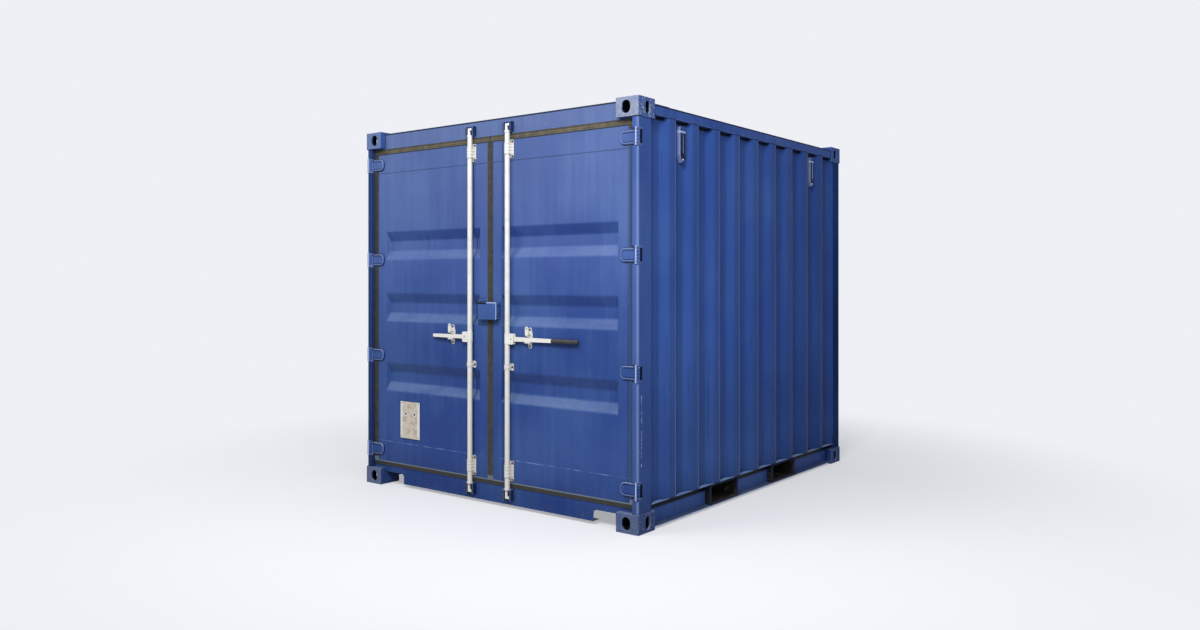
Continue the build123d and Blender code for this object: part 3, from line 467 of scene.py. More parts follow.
def rubbed_corner(place):
    """The top casting at the right of the doors has lost most of its blue."""
    x, y, height = place.axis("X"), place.axis("Y"), place.axis("Z")
    here = x.past(casting_inner_x, -60, -10) * y.past(-casting_inner_y, 60, 10)
    here = here * (height.past(middle_height, -60, 60) * 0.7 + 0.3)
    specks = place.blotches(speck_size, 5.0, moved=11.3).rise(0.50, 0.62) * 0.7
    front = facing_doors(place) * (place.blotches(rub_size, 5.0, moved=2.6) * 0.60 + 0.16)
    left = x.past(-casting_inner_x, 60, 10) * facing_doors(place) * 0.22
    return larger(here * larger(front, specks), left)


def post_wear_and_highlight(place):
    """The right door post: worn pale in front, with a painted highlight down its outer corner, and a
    dotted scratch at the side.
    """
    x, y, height = place.axis("X"), place.axis("Y"), place.axis("Z")
    front = facing_doors(place) * (x.past(post_high.x, -25, -9) * 0.26 + 0.06)
    front = front * x.past(post_high.x, -55, -45) * from_hinge(place).past(blade_half, 10, 14)
    front = front * (place.blotches(chalk_and_highlight_patch, 4.0, stretch=(1, 1, 3)) * 0.6 + 0.7)
    dots = place.blotches(dot_size, 2.0, moved=8.1).rise(0.47, 0.56)
    scratch = y.near(scratch_y, 6, 2) * height.near(scratch_middle, 222, 210)
    return larger(front, scratch * dots * x.past(post_high.x, -15, -5))


def pocket_shadows(place):
    """The rim of the post beside a hinge's pocket lies in the barrel's shadow."""
    rim = abs(place.axis("X")).past(post_high.x, -10, -8)
    return rim * from_hinge(place).past(blade_half, 14, 10) * facing_doors(place) * 0.75


def box_shadows(place):
    """The left half of the lock box: a dark gap along its top and down its outer side."""
    x, height = place.axis("X"), place.axis("Z")
    gap = larger(height.past(cover_high.z, -16, -12), x.past(-cover_high.x, 9, 5))
    left = x.past(-cover_low.x, 0, -3) * x.past(-cover_high.x, -12, -7)
    on_box = height.past(cover_high.z, 7, 3) * height.past(cover_low.z, -4, 0)
    return gap * left * on_box * facing_doors(place) * 0.95


def box_highlights(place):
    """Painted highlights on the lock box's cover, along its top and its outer edge."""
    x, height = place.axis("X"), place.axis("Z")
    top = height.past(cover_high.z, -8, -5) * x.past(0, -1, 2)
    outer = x.past(cover_high.x, -8, -4) * height.past(cover_low.z, -4, 0)
    return larger(top, outer) * height.past(cover_high.z, 7, 3) * facing_doors(place) * 0.8


def hinge_shadows(place):
    """The joints between the hinges' knuckles, and the dark lines inside the blades' rims."""
    across, height = abs(place.axis("X")), place.axis("Z")
    joints = abs(place.math("FRACT", height / knuckle_pitch) - 0.5).rise(0.22, 0.12)
    knuckles = across.past(hinge_high.x, -14, -10) * joints * 0.8
    beside_rim = from_hinge(place).near(rim_shadow_from_middle, 4, 2) * across.past(rim_end, 0, -2)
    return larger(knuckles, beside_rim * across.past(blade_tip, 12, 24) * 0.6) * facing_doors(place)


def barrel_highlights(place):
    """Painted highlights: the bright line down a hinge's barrel, and the raised rim of its blade."""
    across = abs(place.axis("X"))
    barrel = across.near(barrel_middle, 7, 3) * facing_doors(place) * 0.75
    rim = across.past(rim_end, 2, -1) * place.axis("Y").past(blade_face, -0.4, -1.6)
    return larger(barrel, rim * 0.16)


def vent_bar_highlight(place):
    """A painted highlight on the bar in front of a ventilator's mouth, and a painted highlight line over
    it.
    """
    along, height = abs(place.axis("Y")), place.axis("Z")
    bar = height.past(vent_low.z, 59, 67) * height.past(vent_high.z, -40, -48)
    bar = bar * along.near(vent_middle + bar_off_middle, 7, 4)
    return larger(bar, height.near(vent_high.z - sill_under_top, 9, 5))


def vent_mouth_shade(place):
    """Painted shade in the mouth of a ventilator round its bar."""
    along, height = abs(place.axis("Y")), place.axis("Z")
    mouth = height.past(vent_low.z, 5, 21) * height.past(vent_high.z, -22, -28)
    side = abs(own_normal(place).axis("X")).rise(0.5, 0.9)
    return mouth * along.near(vent_middle, 29, 26) * side * (1.0 - vent_bar_highlight(place)) * 0.92


def vent_highlights(place):
    """Painted highlights on a ventilator: its bar, and the side that looks to the doors."""
    return larger(vent_bar_highlight(place) * 0.75, facing_doors(place) * 0.35)


def upright_seams(place):
    """The beads beside the posts are as blue as the walls, without the painted shade of the other beads.
    """
    across, height = abs(place.axis("X")), place.axis("Z")
    upright = height.past(wall_low.z, 40, 80) * height.past(wall_high.z, -60, -100)
    return across.past(wall_high.x, -25, -15) * upright


print("castings reach in from", round(casting_outer_x, 3), "to", round(casting_inner_x, 3))

# %% Blue paint
paint_deep = colour(0.021, 0.056, 0.232)
paint_chalky = colour(0.041, 0.092, 0.285)
# Sun-bleached paint, also a painted sheen on the upper parts.
sunned_and_lit_colour = colour(0.26, 0.30, 0.35)
# Paler blues for rounded edges and rubbed places: worn paint, and painted highlights.
faded_edge_and_highlight = colour(0.20, 0.27, 0.50)
pale_edge_and_highlight = colour(0.42, 0.50, 0.78)
dust_colour = colour(0.17, 0.24, 0.34)
drip_colour = colour(0.018, 0.028, 0.080)
soil_colour = colour(0.060, 0.050, 0.045)
primer_colour = colour(0.35, 0.37, 0.38)
# The right post's pale front: worn paint, and a painted highlight at its corner.
post_pale_and_highlight = colour(0.27, 0.33, 0.52)
rust_colour = colour(0.12, 0.055, 0.028)
# The near black of painted shade.
painted_shade_colour = colour(0.002, 0.003, 0.006)
cloud_size, streak_width, patch_size = 0.8, 45 * mm, 0.30
speckle_size, drip_width, drip_patch = 9 * mm, 16 * mm, 0.5
splash_size, splash_height, crumb_size = 45 * mm, 0.30, 14 * mm
peel_size, peel_height = 4 * mm, 0.05 * mm
wave_size, wave_height, chip_depth = 0.22, 1.6 * mm, 0.12 * mm
chalk_middle, chalk_spread = 0.51, 0.13
sunned_and_lit_from, sunned_and_lit_to = 0.9, 2.5
washed_from, washed_to = 1.9, 0.8


def blue_paint(name, dust=0.5, stains=0.4, soil=0.3, chips=0.3, edge_wear_and_highlight=0.4, roughness=0.45,
               shine=0.05, shade=1.0, bleach_and_sheen=0.0, edge=faded_edge_and_highlight, painted_shade=None, rubbed_and_highlit=None,
               primer_and_highlight=primer_colour, speckled=1.0, cloudy=1.0, lighter_above=(0.95, 1.7)):
    """The function given for painted shade darkens a place towards near black, and the one given for
    rubbing turns paint to the primer colour, both where it is worn and where a highlight is painted.
    """
    material, shader, place = new_finish(name)
    height, normal, worn = place.axis("Z"), own_normal(place), place.mark("worn")
    clouds = place.blotches(cloud_size, 4.0)
    streaks = place.blotches(streak_width, 3.0, stretch=(1, 1, 22))
    spread = chalk_spread / cloudy
    chalk = (clouds * 0.75 + streaks * 0.25).rise(chalk_middle - spread, chalk_middle + spread)
    paint = chalk.over(paint_deep, paint_chalky)
    facing_down = normal.axis("Z").rise(-0.1, -0.4)
    # Upper parts paler: sun-bleached paint, and a painted sheen where they catch more light.
    sunned_and_lit = height.rise(sunned_and_lit_from, sunned_and_lit_to) * (streaks * 0.3 + 0.85) * (1.0 - facing_down) * bleach_and_sheen
    # The paint is darker towards the bottom.
    darker_low_down = height.rise(*lighter_above) * 0.22 + height.rise(0.06, 0.36) * 0.2 + 0.58
    paint = sunned_and_lit.over(paint, sunned_and_lit_colour).scaled(darker_low_down * shade)

    upward = normal.axis("Z").rise(0.12, 0.75)
    speckle = place.blotches(speckle_size, 3.0).rise(0.25, 0.7)
    patchy = place.blotches(patch_size, 3.0, stretch=(1, 1, 0.4), moved=9.4).rise(0.3, 0.6) * 0.6 + 0.4
    settled = upward * (speckle * speckled + (1.0 - speckled) * 0.5) * patchy * dust
    settled = settled * (height.rise(washed_from, washed_to) * 0.55 + 0.72)
    paint = settled.over(paint, dust_colour)

    drips = place.blotches(drip_width, 2.0, stretch=(1, 1, 40), moved=3.1).rise(0.56, 0.78)
    drips = drips * place.blotches(drip_patch, 2.0, moved=1.7).rise(0.40, 0.62) * stains
    paint = drips.over(paint, drip_colour)

    splashes = place.blotches(splash_size, 5.0, moved=5.3).rise(0.46, 0.70)
    paint = (height.rise(splash_height, 0.0) * splashes * soil).over(paint, soil_colour)

    # Rounded edges paler: worn paint, and a painted highlight along the edge.
    paint = (worn * edge_wear_and_highlight).over(paint, edge)
    crumbs = place.blotches(crumb_size, 4.0, moved=7.9)
    bare_and_highlit = (worn * 0.16 + crumbs).rise(0.68, 0.72) * chips
    # The rubbed masks turn paint to the primer colour: some are real wear, others painted highlights.
    if rubbed_and_highlit:
        bare_and_highlit = larger(bare_and_highlit, rubbed_and_highlit(place))
    rusty = (worn * 0.14 + crumbs).rise(0.75, 0.79) * chips
    paint = rusty.over(bare_and_highlit.over(paint, primer_and_highlight), rust_colour)
    # Painted shade: near black where the mask says that light doesn't reach.
    if painted_shade:
        paint = painted_shade(place).over(paint, painted_shade_colour)

    peel = place.blotches(peel_size, 1.0) * peel_height
    waves = place.blotches(wave_size, 1.0, moved=2.2) * wave_height
    feed(shader, Base_Color=paint, Roughness=roughness + settled * 0.35 + rusty * 0.3 + drips * 0.2,
         Specular_IOR_Level=shine, Normal=place.bump(peel + waves - bare_and_highlit * chip_depth))
    return material


# Pale rubbed places and edges: worn paint, and painted highlights.
pale_wear_and_highlight = {"edge": pale_edge_and_highlight, "primer_and_highlight": pale_edge_and_highlight}
polished_and_highlit = {**pale_wear_and_highlight, "dust": 0.9, "shine": 0.12, "bleach_and_sheen": 0.12}
door_paint = blue_paint("door_paint", dust=0.8, stains=0.15, chips=0.15, roughness=0.42, shine=0.14,
                        bleach_and_sheen=0.17, painted_shade=door_shadows, rubbed_and_highlit=lower_seam_highlight, primer_and_highlight=faded_edge_and_highlight,
                        speckled=0.25)
wall_paint = blue_paint("wall_paint", dust=0.3, stains=0.6, chips=0.12, edge_wear_and_highlight=0.0, shine=0.03,
                        shade=1.08, painted_shade=under_rail_shade, rubbed_and_highlit=far_bend_highlights, primer_and_highlight=faded_edge_and_highlight,
                        cloudy=0.45, lighter_above=(0.5, 1.2))
steel_paint = blue_paint("steel_paint", dust=0.9, stains=0.35, shade=1.1, painted_shade=frame_shadows)
# The bottom rails in a lighter copy of the blue, painted light against the shade of their flange.
rail_paint = blue_paint("rail_paint", dust=0.9, stains=0.35, shade=1.8, painted_shade=frame_shadows)
header_paint = blue_paint("header_paint", dust=0.6, stains=0.2, bleach_and_sheen=0.25, shine=0.1,
                          painted_shade=frame_shadows)
post_paint = blue_paint("post_paint", dust=0.6, edge_wear_and_highlight=0.7, edge=pale_edge_and_highlight, painted_shade=pocket_shadows,
                        rubbed_and_highlit=post_wear_and_highlight, primer_and_highlight=post_pale_and_highlight, cloudy=0.6, lighter_above=(0.5, 1.2))
left_post_paint = blue_paint("left_post_paint", dust=0.3, edge_wear_and_highlight=0.5, shine=0.02, shade=0.5)
# The far posts in a darker copy of the blue, as painted shade.
far_post_paint = blue_paint("far_post_paint", dust=0.1, edge_wear_and_highlight=0.5, shine=0.0, shade=0.60)
fitting_paint = blue_paint("fitting_paint", edge_wear_and_highlight=0.95, painted_shade=box_shadows, rubbed_and_highlit=box_highlights, **polished_and_highlit)
# The cam keepers in a darker copy of the blue, as painted shade.
keeper_paint = blue_paint("keeper_paint", dust=0.3, edge_wear_and_highlight=0.35, edge=pale_edge_and_highlight, shade=0.4)
hinge_paint = blue_paint("hinge_paint", edge_wear_and_highlight=0.6, painted_shade=hinge_shadows, rubbed_and_highlit=barrel_highlights, **polished_and_highlit)
vent_paint = blue_paint("vent_paint", edge_wear_and_highlight=0.6, painted_shade=vent_mouth_shade, rubbed_and_highlit=vent_highlights, **pale_wear_and_highlight)
roof_paint = blue_paint("roof_paint", dust=0.8, stains=0.3, soil=0.0, chips=0.6, roughness=0.5)
casting_paint = blue_paint("casting_paint", dust=0.7, chips=0.5, edge_wear_and_highlight=0.6, edge=pale_edge_and_highlight,
                           painted_shade=casting_hollow_shade, rubbed_and_highlit=rubbed_corner)
# Weld beads and rivets in a darker copy of the blue: dirt, and painted shade round the parts that they
# join.
seam_paint = blue_paint("seam_paint", dust=0.2, stains=0.6, chips=0.1, edge_wear_and_highlight=0.0, shine=0.04, shade=0.25,
                        rubbed_and_highlit=upright_seams, primer_and_highlight=paint_deep)
print("blue paint in", len([item for item in bpy.data.materials if "paint" in item.name]), "kinds")

# %% Zinc, rubber, plywood and the rest
ridge_pitch = 21 * mm
# How far the plate's two holes lie from its left edge and below its top.
plate_holes = ((56 * mm, 87.4 * mm), (145.7 * mm, 87.5 * mm))


def zinc_coat(name, ridges=0.0):
    """Zinc coating with grime at its edges; ridges adds the pressed lines of the rods' brackets."""
    material, shader, place = new_finish(name)
    cloudy = place.blotches(60 * mm, 4.0)
    spangle = place.blotches(7 * mm, 3.0, moved=1.3)
    coat = cloudy.rise(0.3, 0.7).over(colour(0.62, 0.61, 0.575), colour(0.71, 0.71, 0.685))
    coat = place.axis("Z").rise(1.5, 0.2).over(coat, colour(0.58, 0.56, 0.52))
    grime = (spangle * 0.5 + place.blotches(25 * mm, 4.0, moved=4.4) * 0.5).rise(0.54, 0.70)
    coat = (grime * 0.35).over(coat, colour(0.36, 0.33, 0.26))
    worn = place.mark("worn")
    coat = (worn * 0.55).over(coat, colour(0.20, 0.185, 0.14))
    rust = (place.blotches(18 * mm, 5.0, moved=8.6) + worn * 0.04).rise(0.68, 0.78)
    coat = (rust * 0.8).over(coat, colour(0.22, 0.095, 0.04))
    line = abs(place.math("FRACT", place.axis("Z") / ridge_pitch) - 0.5).rise(0.30, 0.45) * ridges
    coat = (line * 0.5).over(coat, colour(0.30, 0.28, 0.20))
    feed(shader, Base_Color=coat, Metallic=0.1 - rust * 0.1, Roughness=0.40 + grime * 0.2,
         Normal=place.bump(spangle * (0.06 * mm) - line * (0.6 * mm)))
    return material


def bolt_steel(name):
    material, shader, place = new_finish(name)
    rust = place.blotches(9 * mm, 4.0).rise(0.35, 0.65)
    steel = rust.over(colour(0.13, 0.125, 0.12), colour(0.060, 0.045, 0.038))
    feed(shader, Base_Color=steel, Metallic=0.4 - rust * 0.3, Roughness=0.5 + rust * 0.2)
    return material


def rubber(name):
    """Black rubber: olive with dirt along the top, dark below, and blue from overspray at the right;
    painted shade under the top lip, and a painted highlight along the top of the bottom gasket.
    """
    material, shader, place = new_finish(name)
    x, height = place.axis("X"), place.axis("Z")
    along_top, along_bottom = height.past(frame_high.z, -45, -35), height.past(frame_low.z, 44, 34)
    mottled = place.blotches(50 * mm, 4.0).rise(0.35, 0.75)
    dirt = along_top * place.mark("ridge") * (mottled * 0.4 + 0.5) + mottled * 0.25 + 0.12
    dirt = dirt * (1.0 - along_bottom * 0.7)
    skin = dirt.over(colour(0.022, 0.022, 0.023), colour(0.110, 0.094, 0.060))
    # Painted shade under the lip of the top gasket.
    under_lip_shade = along_top * height.past(frame_high.z - lip_over["high"], 9, 3)
    skin = (under_lip_shade * 0.7).over(skin, colour(0.022, 0.024, 0.032))
    # A painted highlight along the top of the bottom gasket.
    shelf_highlight = along_bottom * height.past(frame_low.z + lip_over["low"], -10, -5)
    skin = (shelf_highlight * 0.9).over(skin, colour(0.120, 0.150, 0.180))
    rim = x.past(frame_high.x, -22, 8)
    overspray = rim.over(colour(0.034, 0.064, 0.138), colour(0.012, 0.025, 0.074))
    beside_post = x.past(frame_high.x, -30, -24) * (1.0 - along_top) * (1.0 - along_bottom)
    skin = beside_post.over(skin, overspray)
    feed(shader, Base_Color=skin, Roughness=0.65, Specular_IOR_Level=0.2,
         Normal=place.bump(place.blotches(5 * mm, 3.0) * (0.15 * mm)))
    return material


def plywood(name):
    material, shader, place = new_finish(name)
    grain = place.blotches(10 * mm, 4.0, stretch=(1, 26, 1))
    figure = place.blotches(60 * mm, 3.0, stretch=(1, 9, 1), moved=2.0)
    wood = (grain * 0.5 + figure * 0.5).rise(0.36, 0.64)
    wood = wood.over(colour(0.16, 0.085, 0.04), colour(0.34, 0.20, 0.10))
    scuffs = place.blotches(0.12, 6.0, stretch=(1, 2.5, 1), moved=6.0).rise(0.52, 0.72)
    wood = (scuffs * 0.7).over(wood, colour(0.10, 0.075, 0.055))
    feed(shader, Base_Color=wood, Roughness=0.55 + scuffs * 0.25,
         Normal=place.bump(grain * (0.4 * mm)))
    return material


def undercoat(name):
    """Dark undercoating, with the shell's blue over it at the mouths of the pockets."""
    material, shader, place = new_finish(name)
    lumps = place.blotches(12 * mm, 5.0)
    rust = place.blotches(70 * mm, 5.0, moved=3.7).rise(0.55, 0.70)
    coat = (rust * 0.8).over(colour(0.010, 0.009, 0.008), colour(0.090, 0.078, 0.045))
    mouths = abs(place.axis("X")).past(wall_high.x, -19, -11)
    coat = mouths.over(coat, colour(0.010, 0.014, 0.036))
    feed(shader, Base_Color=coat, Roughness=0.75, Specular_IOR_Level=0.15,
         Normal=place.bump(lumps * (0.6 * mm)))
    return material


def plate_metal(name):
    """Blank plate: pale metal with smudges, and two dark holes near its top."""
    material, shader, place = new_finish(name)
    smudges = place.blotches(35 * mm, 5.0).rise(0.42, 0.66)
    brushed = place.blotches(3 * mm, 2.0, stretch=(20, 1, 1))
    metal = smudges.over(colour(0.50, 0.45, 0.38), colour(0.36, 0.31, 0.25))
    x = place.axis("X")
    rim = smaller(x - plate_low.x, plate_high.x - x).past(0, 28, 16)
    metal = (rim * 0.7).over(metal, colour(0.66, 0.69, 0.66))
    flat = place.vector(x, 0.0, place.axis("Z"))
    for out, down in plate_holes:
        hole = (plate_low.x + out, 0.0, plate_high.z - down)
        away = place.node("ShaderNodeVectorMath", {"operation": "DISTANCE"}, {0: flat, 1: hole}, "Value")
        metal = (away.past(0, 20, 15) * 0.6).over(metal, colour(0.70, 0.70, 0.68))
        metal = away.past(0, 11, 8).over(metal, colour(0.02, 0.02, 0.025))
    metal = (place.mark("worn") * 0.6).over(metal, colour(0.72, 0.72, 0.72))
    feed(shader, Base_Color=metal, Metallic=0.1, Roughness=0.45 + smudges * 0.2,
         Normal=place.bump(brushed * (0.03 * mm)))
    return material


def dark_sleeve(name):
    material, shader, place = new_finish(name)
    grime = place.blotches(20 * mm, 4.0).rise(0.4, 0.7)
    sleeve = grime.over(colour(0.013, 0.012, 0.010), colour(0.026, 0.024, 0.021))
    feed(shader, Base_Color=sleeve, Roughness=0.55, Normal=place.bump(grime * (0.2 * mm)))
    return material


zinc_finish = zinc_coat("galvanised")
bracket_finish = zinc_coat("galvanised_brackets", 1.0)
bolt_finish = bolt_steel("bolt_steel")
rubber_finish = rubber("gasket_rubber")
plywood_finish = plywood("plywood")
undercoat_finish = undercoat("undercoat")
plate_finish = plate_metal("blank_plate")
sleeve_finish = dark_sleeve("grip_sleeve")
print(len(bpy.data.materials), "finishes")

# %% [markdown]
# ## Rounded edges
#
# No edge of a steel part is as sharp as in CAD. Castings have round edges from their mould,
# plate is ground after it is cut, and a bent or rolled edge catches a line of light that shows
# where the part ends. A Bevel modifier would do it, but bmesh's bevel also says which faces it
# made, and those get the attribute worn for the paint. Each CAD mesh is copied, its loose
# triangles are merged, and the copy stands for the node.

# %% Rounded copies of the CAD parts
merge_distance = 0.02 * mm
flat_angle = math.radians(0.5)
sharp_angle = math.radians(28)
smooth_angle = math.radians(34)
least_bend, most_bend = math.radians(12), math.radians(80)
lock_box_gap = 7 * mm
cast_edge, tube_edge, plate_edge, thick_edge = 4 * mm, 5 * mm, 1.2 * mm, 2.2 * mm
post_corner, press_bend = 6 * mm, 7 * mm
box_lip, box_plate, box_edge = 5.2 * mm, 5 * mm, 3.6 * mm


def merged_copy(node):
    shape = bmesh.new()
    shape.from_mesh(nodes[node].data)
    bmesh.ops.remove_doubles(shape, verts=shape.verts, dist=merge_distance)
    bmesh.ops.dissolve_limit(shape, angle_limit=flat_angle, verts=shape.verts, edges=shape.edges)
    return shape


def round_edges(shape, width, chosen, segments, box):
    """Bevels the chosen edges and marks the new faces as worn."""
    layer = shape.faces.layers.float.get("worn") or shape.faces.layers.float.new("worn")
    picked = [edge for edge in shape.edges if len(edge.link_faces) == 2 and chosen(edge, box)]
    made = bmesh.ops.bevel(shape, geom=picked, offset=width, segments=segments, profile=0.5,
                           affect="EDGES", clamp_overlap=True)
    for face in made["faces"]:
        face[layer] = 1.0


def any_sharp(edge, box):
    """Picks sharp edges. Like the next three it is asked with an edge and the node's box."""
    return edge.calc_face_angle() > sharp_angle


def on_outline(edge, box):
    """Picks the edges that lie along the edges of the node's own box."""
    planes = 0
    for letter in range(3):
        for side in box:
            planes += all(abs(end.co[letter] - side[letter]) < merge_distance for end in edge.verts)
    return planes >= 2


def off_the_middle(edge, box):
    """Picks sharp edges, but not those where the two halves of the lock box meet."""
    return any_sharp(edge, box) and not all(abs(end.co.x) < lock_box_gap for end in edge.verts)


def gentle_bend(edge, box):
    """Picks the bends of pressed sheet, and not the sheet's cut rim."""
    return least_bend < edge.calc_face_angle() < most_bend


def add_piece(name, mesh, body, finish, stands_for=()):
    """Makes a finished mesh a piece of the container that moves with a body."""
    mesh.materials.clear()
    mesh.materials.append(finish)
    piece = bpy.data.objects.new(name, mesh)
    bpy.context.collection.objects.link(piece)
    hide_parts(*stands_for)
    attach(piece, body)
    return piece


def finished(shape, name, hard=smooth_angle):
    """Turns a bmesh into a mesh that is shaded smooth except across edges harder than an angle."""
    mesh = bpy.data.meshes.new(name)
    shape.to_mesh(mesh)
    shape.free()
    mesh.shade_smooth()
    mesh.set_sharp_from_angle(angle=hard)
    return mesh


def rounded(node, finish, width=plate_edge, chosen=any_sharp, segments=2):
    """A rounded copy of a CAD node that stands for it. The lock box's cover reaches to the left."""
    shape = merged_copy(node)
    low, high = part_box(node)
    if node == "right_lock_box":
        for point in shape.verts:
            if point.co.x < low.x + merge_distance and point.co.y < low.y + box_plate:
                point.co.x -= box_lip
    round_edges(shape, width, chosen, segments, (low, high))
    body = nodes[node].parent.name.split(":")[1]
    piece = add_piece(node + "_rounded", finished(shape, node), body, finish, [node])
    weights = piece.modifiers.new("even_shading", "WEIGHTED_NORMAL")
    weights.keep_sharp = True


made_by_rule = ("side_wall", "end_wall", "left_door_panel", "right_door_panel",
                "left_door_gasket", "right_door_gasket", "right_handle_grip")

# Each row has a part of a node's name and its finish, and where they differ from those of plain
# plate, how wide its edges are rounded, which of them, and in how many steps. The first row that
# fits a node is taken.
roundings = (
    ("casting", casting_paint, cast_edge, any_sharp, 3),
    ("door_header", header_paint, tube_edge, on_outline, 3),
    ("end_top_rail", steel_paint, tube_edge, on_outline, 3),
    ("top_side_rail", steel_paint, tube_edge, on_outline, 3),
    ("end_post", far_post_paint, tube_edge, on_outline, 3),
    ("door_post_right", post_paint, post_corner, on_outline, 3),
    ("door_post_left", left_post_paint, post_corner, on_outline, 3),
    ("roof_panel", roof_paint, press_bend, gentle_bend, 3),
    ("roof", roof_paint, plate_edge / 2),
    ("brackets", bracket_finish), ("retainer", zinc_finish), ("_handle", zinc_finish, thick_edge),
    ("lock_rod", zinc_finish), ("hasp", zinc_finish), ("floor_boards", plywood_finish),
    ("cross_members", undercoat_finish), ("fork_pockets", undercoat_finish),
    ("data_plate", plate_finish, plate_edge / 2), ("hinge", hinge_paint), ("ventilators", vent_paint),
    ("lock_box", fitting_paint, box_edge, off_the_middle), ("cam_keepers", keeper_paint),
    ("door_frame", door_paint), ("header_end_plates", header_paint),
    ("bottom_side_rail", rail_paint), ("", steel_paint),
)
for node in nodes:
    if not node.startswith(made_by_rule):
        look = next(row for row in roundings if row[0] in node)[1:]
        rounded(node, *look)

# %% [markdown]
# ## Rules
#
# What repeats or follows a rule is made with Geometry Nodes: the ribs of the walls, the beads of
# weld, the bolts. A tree is a rule with named sizes, so one tree serves every wall, seam or bolt.
# The first three functions below start a tree, end it, and follow it: the last of them gives the
# rule a start mesh and its sizes and brings back a plain mesh. The others are steps that several
# rules share.

# %% Start, end and follow a rule
def new_rule(name, *sizes):
    """A new Geometry Nodes tree; gives its inputs as wires, by name."""
    tree = bpy.data.node_groups.new(name, "GeometryNodeTree")
    for direction in ("INPUT", "OUTPUT"):
        tree.interface.new_socket("Geometry", in_out=direction, socket_type="NodeSocketGeometry")
    for size in sizes:
        tree.interface.new_socket(size, in_out="INPUT", socket_type="NodeSocketFloat")
    tree.interface.new_socket("Finish", in_out="INPUT", socket_type="NodeSocketMaterial")
    start = tree.nodes.new("NodeGroupInput")
    return {socket.name: Wire(tree, socket) for socket in start.outputs if socket.name}


def end_rule(made, given):
    """Makes instances real, sets the finish and gives back the tree."""
    real = made.node("GeometryNodeRealizeInstances", {}, {"Geometry": made})
    painted = made.node("GeometryNodeSetMaterial", {}, {"Geometry": real, "Material": given["Finish"]})
    way_out = made.tree.nodes.new("NodeGroupOutput")
    made.tree.links.new(painted.socket, way_out.inputs["Geometry"])
    return made.tree


def follow(tree, start, finish, **sizes):
    """The plain mesh that a rule makes of a start mesh."""
    maker = bpy.data.objects.new("maker", start)
    bpy.context.collection.objects.link(maker)
    rule = maker.modifiers.new("rule", "NODES")
    rule.node_group = tree
    inputs = {item.name: item.identifier for item in tree.interface.items_tree
              if item.in_out == "INPUT"}
    rule[inputs["Finish"]] = finish
    for size, value in sizes.items():
        rule[inputs[size]] = float(value)
    seen_by_graph = maker.evaluated_get(bpy.context.evaluated_depsgraph_get())
    mesh = bpy.data.meshes.new_from_object(seen_by_graph)
    bpy.data.objects.remove(maker)
    return mesh


def place_of(wire):
    """The place of each point, in the tree of this wire."""
    return wire.node("GeometryNodeInputPosition", {}, {})


def shifted(mesh, offset, chosen=True):
    """Moves the chosen points of a mesh."""
    sockets = {"Geometry": mesh, "Offset": offset, "Selection": chosen}
    return mesh.node("GeometryNodeSetPosition", {}, sockets)


def turned_by(wire, angle):
    """A turn about Z."""
    return wire.node("FunctionNodeEulerToRotation", {}, {0: wire.vector(0.0, 0.0, angle)})


def sheet_of(surface, thickness):
    """Closes a surface into a sheet: its faces pushed inwards, with a rim, and the faces themselves."""
    inwards = surface.vector(0.0, thickness, 0.0)
    pushed = surface.node("GeometryNodeExtrudeMesh", {"mode": "FACES"},
                          {"Mesh": surface, "Offset": inwards, "Offset Scale": 1.0,
                           "Individual": False})
    turned = surface.node("GeometryNodeFlipFaces", {}, {"Mesh": surface})
    joined = surface.node("GeometryNodeJoinGeometry", {}, {"Geometry": [pushed, turned]})
    return surface.node("GeometryNodeMergeByDistance", {},
                        {"Geometry": joined, "Distance": merge_distance})


def outward(mesh, name, hard=smooth_angle):
    """Makes every closed shell's faces point outwards and shades it."""
    shape = bmesh.new()
    shape.from_mesh(mesh)
    bmesh.ops.recalc_face_normals(shape, faces=shape.faces)
    return finished(shape, name, hard)


print("rules can be started, ended and followed")

# %% [markdown]
# ## Ribbed walls
#
# A container's walls are single sheets of 2 mm steel, pressed into upright ribs, which is what
# makes so thin a sheet carry a stack. Seen from above, the sheet is a line that goes in and out
# at a fixed pitch, with a bend of some millimetres at each corner. The rule says just that: how
# far a point is from the middle of the nearest rib gives how deep it lies, and a smooth minimum
# and a smooth maximum round the two bends. The same rule makes the end wall, whose ribs are
# deeper and steeper.

# %% The rule for a ribbed sheet
given = new_rule("ribbed_sheet", "Length", "Bottom", "Top", "Pitch", "Ribs", "Inner", "Slope",
                 "Depth", "Sheet", "Bend", "Step", "Notch", "NotchTop", "Turn", "AwayX", "AwayY")
half = given["Length"] * 0.5
line = half.node("GeometryNodeMeshLine", {"mode": "END_POINTS"},
                 {"Count": given["Length"] / given["Step"] + 1.0,
                  "Start Location": half.vector(0.0 - half, 0.0, given["Bottom"]),
                  "Offset": half.vector(half, 0.0, given["Bottom"])})
along = place_of(half).axis("X")
turns = half.math("FRACT", along / given["Pitch"] + given["Ribs"] * 0.5)
from_rib = abs(turns - 0.5) * given["Pitch"]
share = (given["Inner"] * 0.5 + given["Slope"] - from_rib) / given["Slope"]
softness = given["Bend"] / given["Slope"]
share = half.math("SMOOTH_MIN", share, 1.0, softness)
share = half.math("SMOOTH_MAX", share, 0.0, softness)
outer_bend = share.rise(0.0, 0.04) * share.rise(0.16, 0.06)
line = half.node("GeometryNodeStoreNamedAttribute", {"data_type": "FLOAT", "domain": "POINT"},
                 {"Geometry": line, "Name": "bend", "Value": outer_bend})
line = shifted(line, half.vector(0.0, share * given["Depth"], 0.0))
height = given["Top"] - given["Bottom"]
surface = half.node("GeometryNodeExtrudeMesh", {"mode": "EDGES"},
                    {"Mesh": line, "Offset": half.vector(0.0, 0.0, height), "Offset Scale": 1.0})
place = place_of(half)
past_notch = half.math("GREATER_THAN", abs(place.axis("X")), given["Notch"])
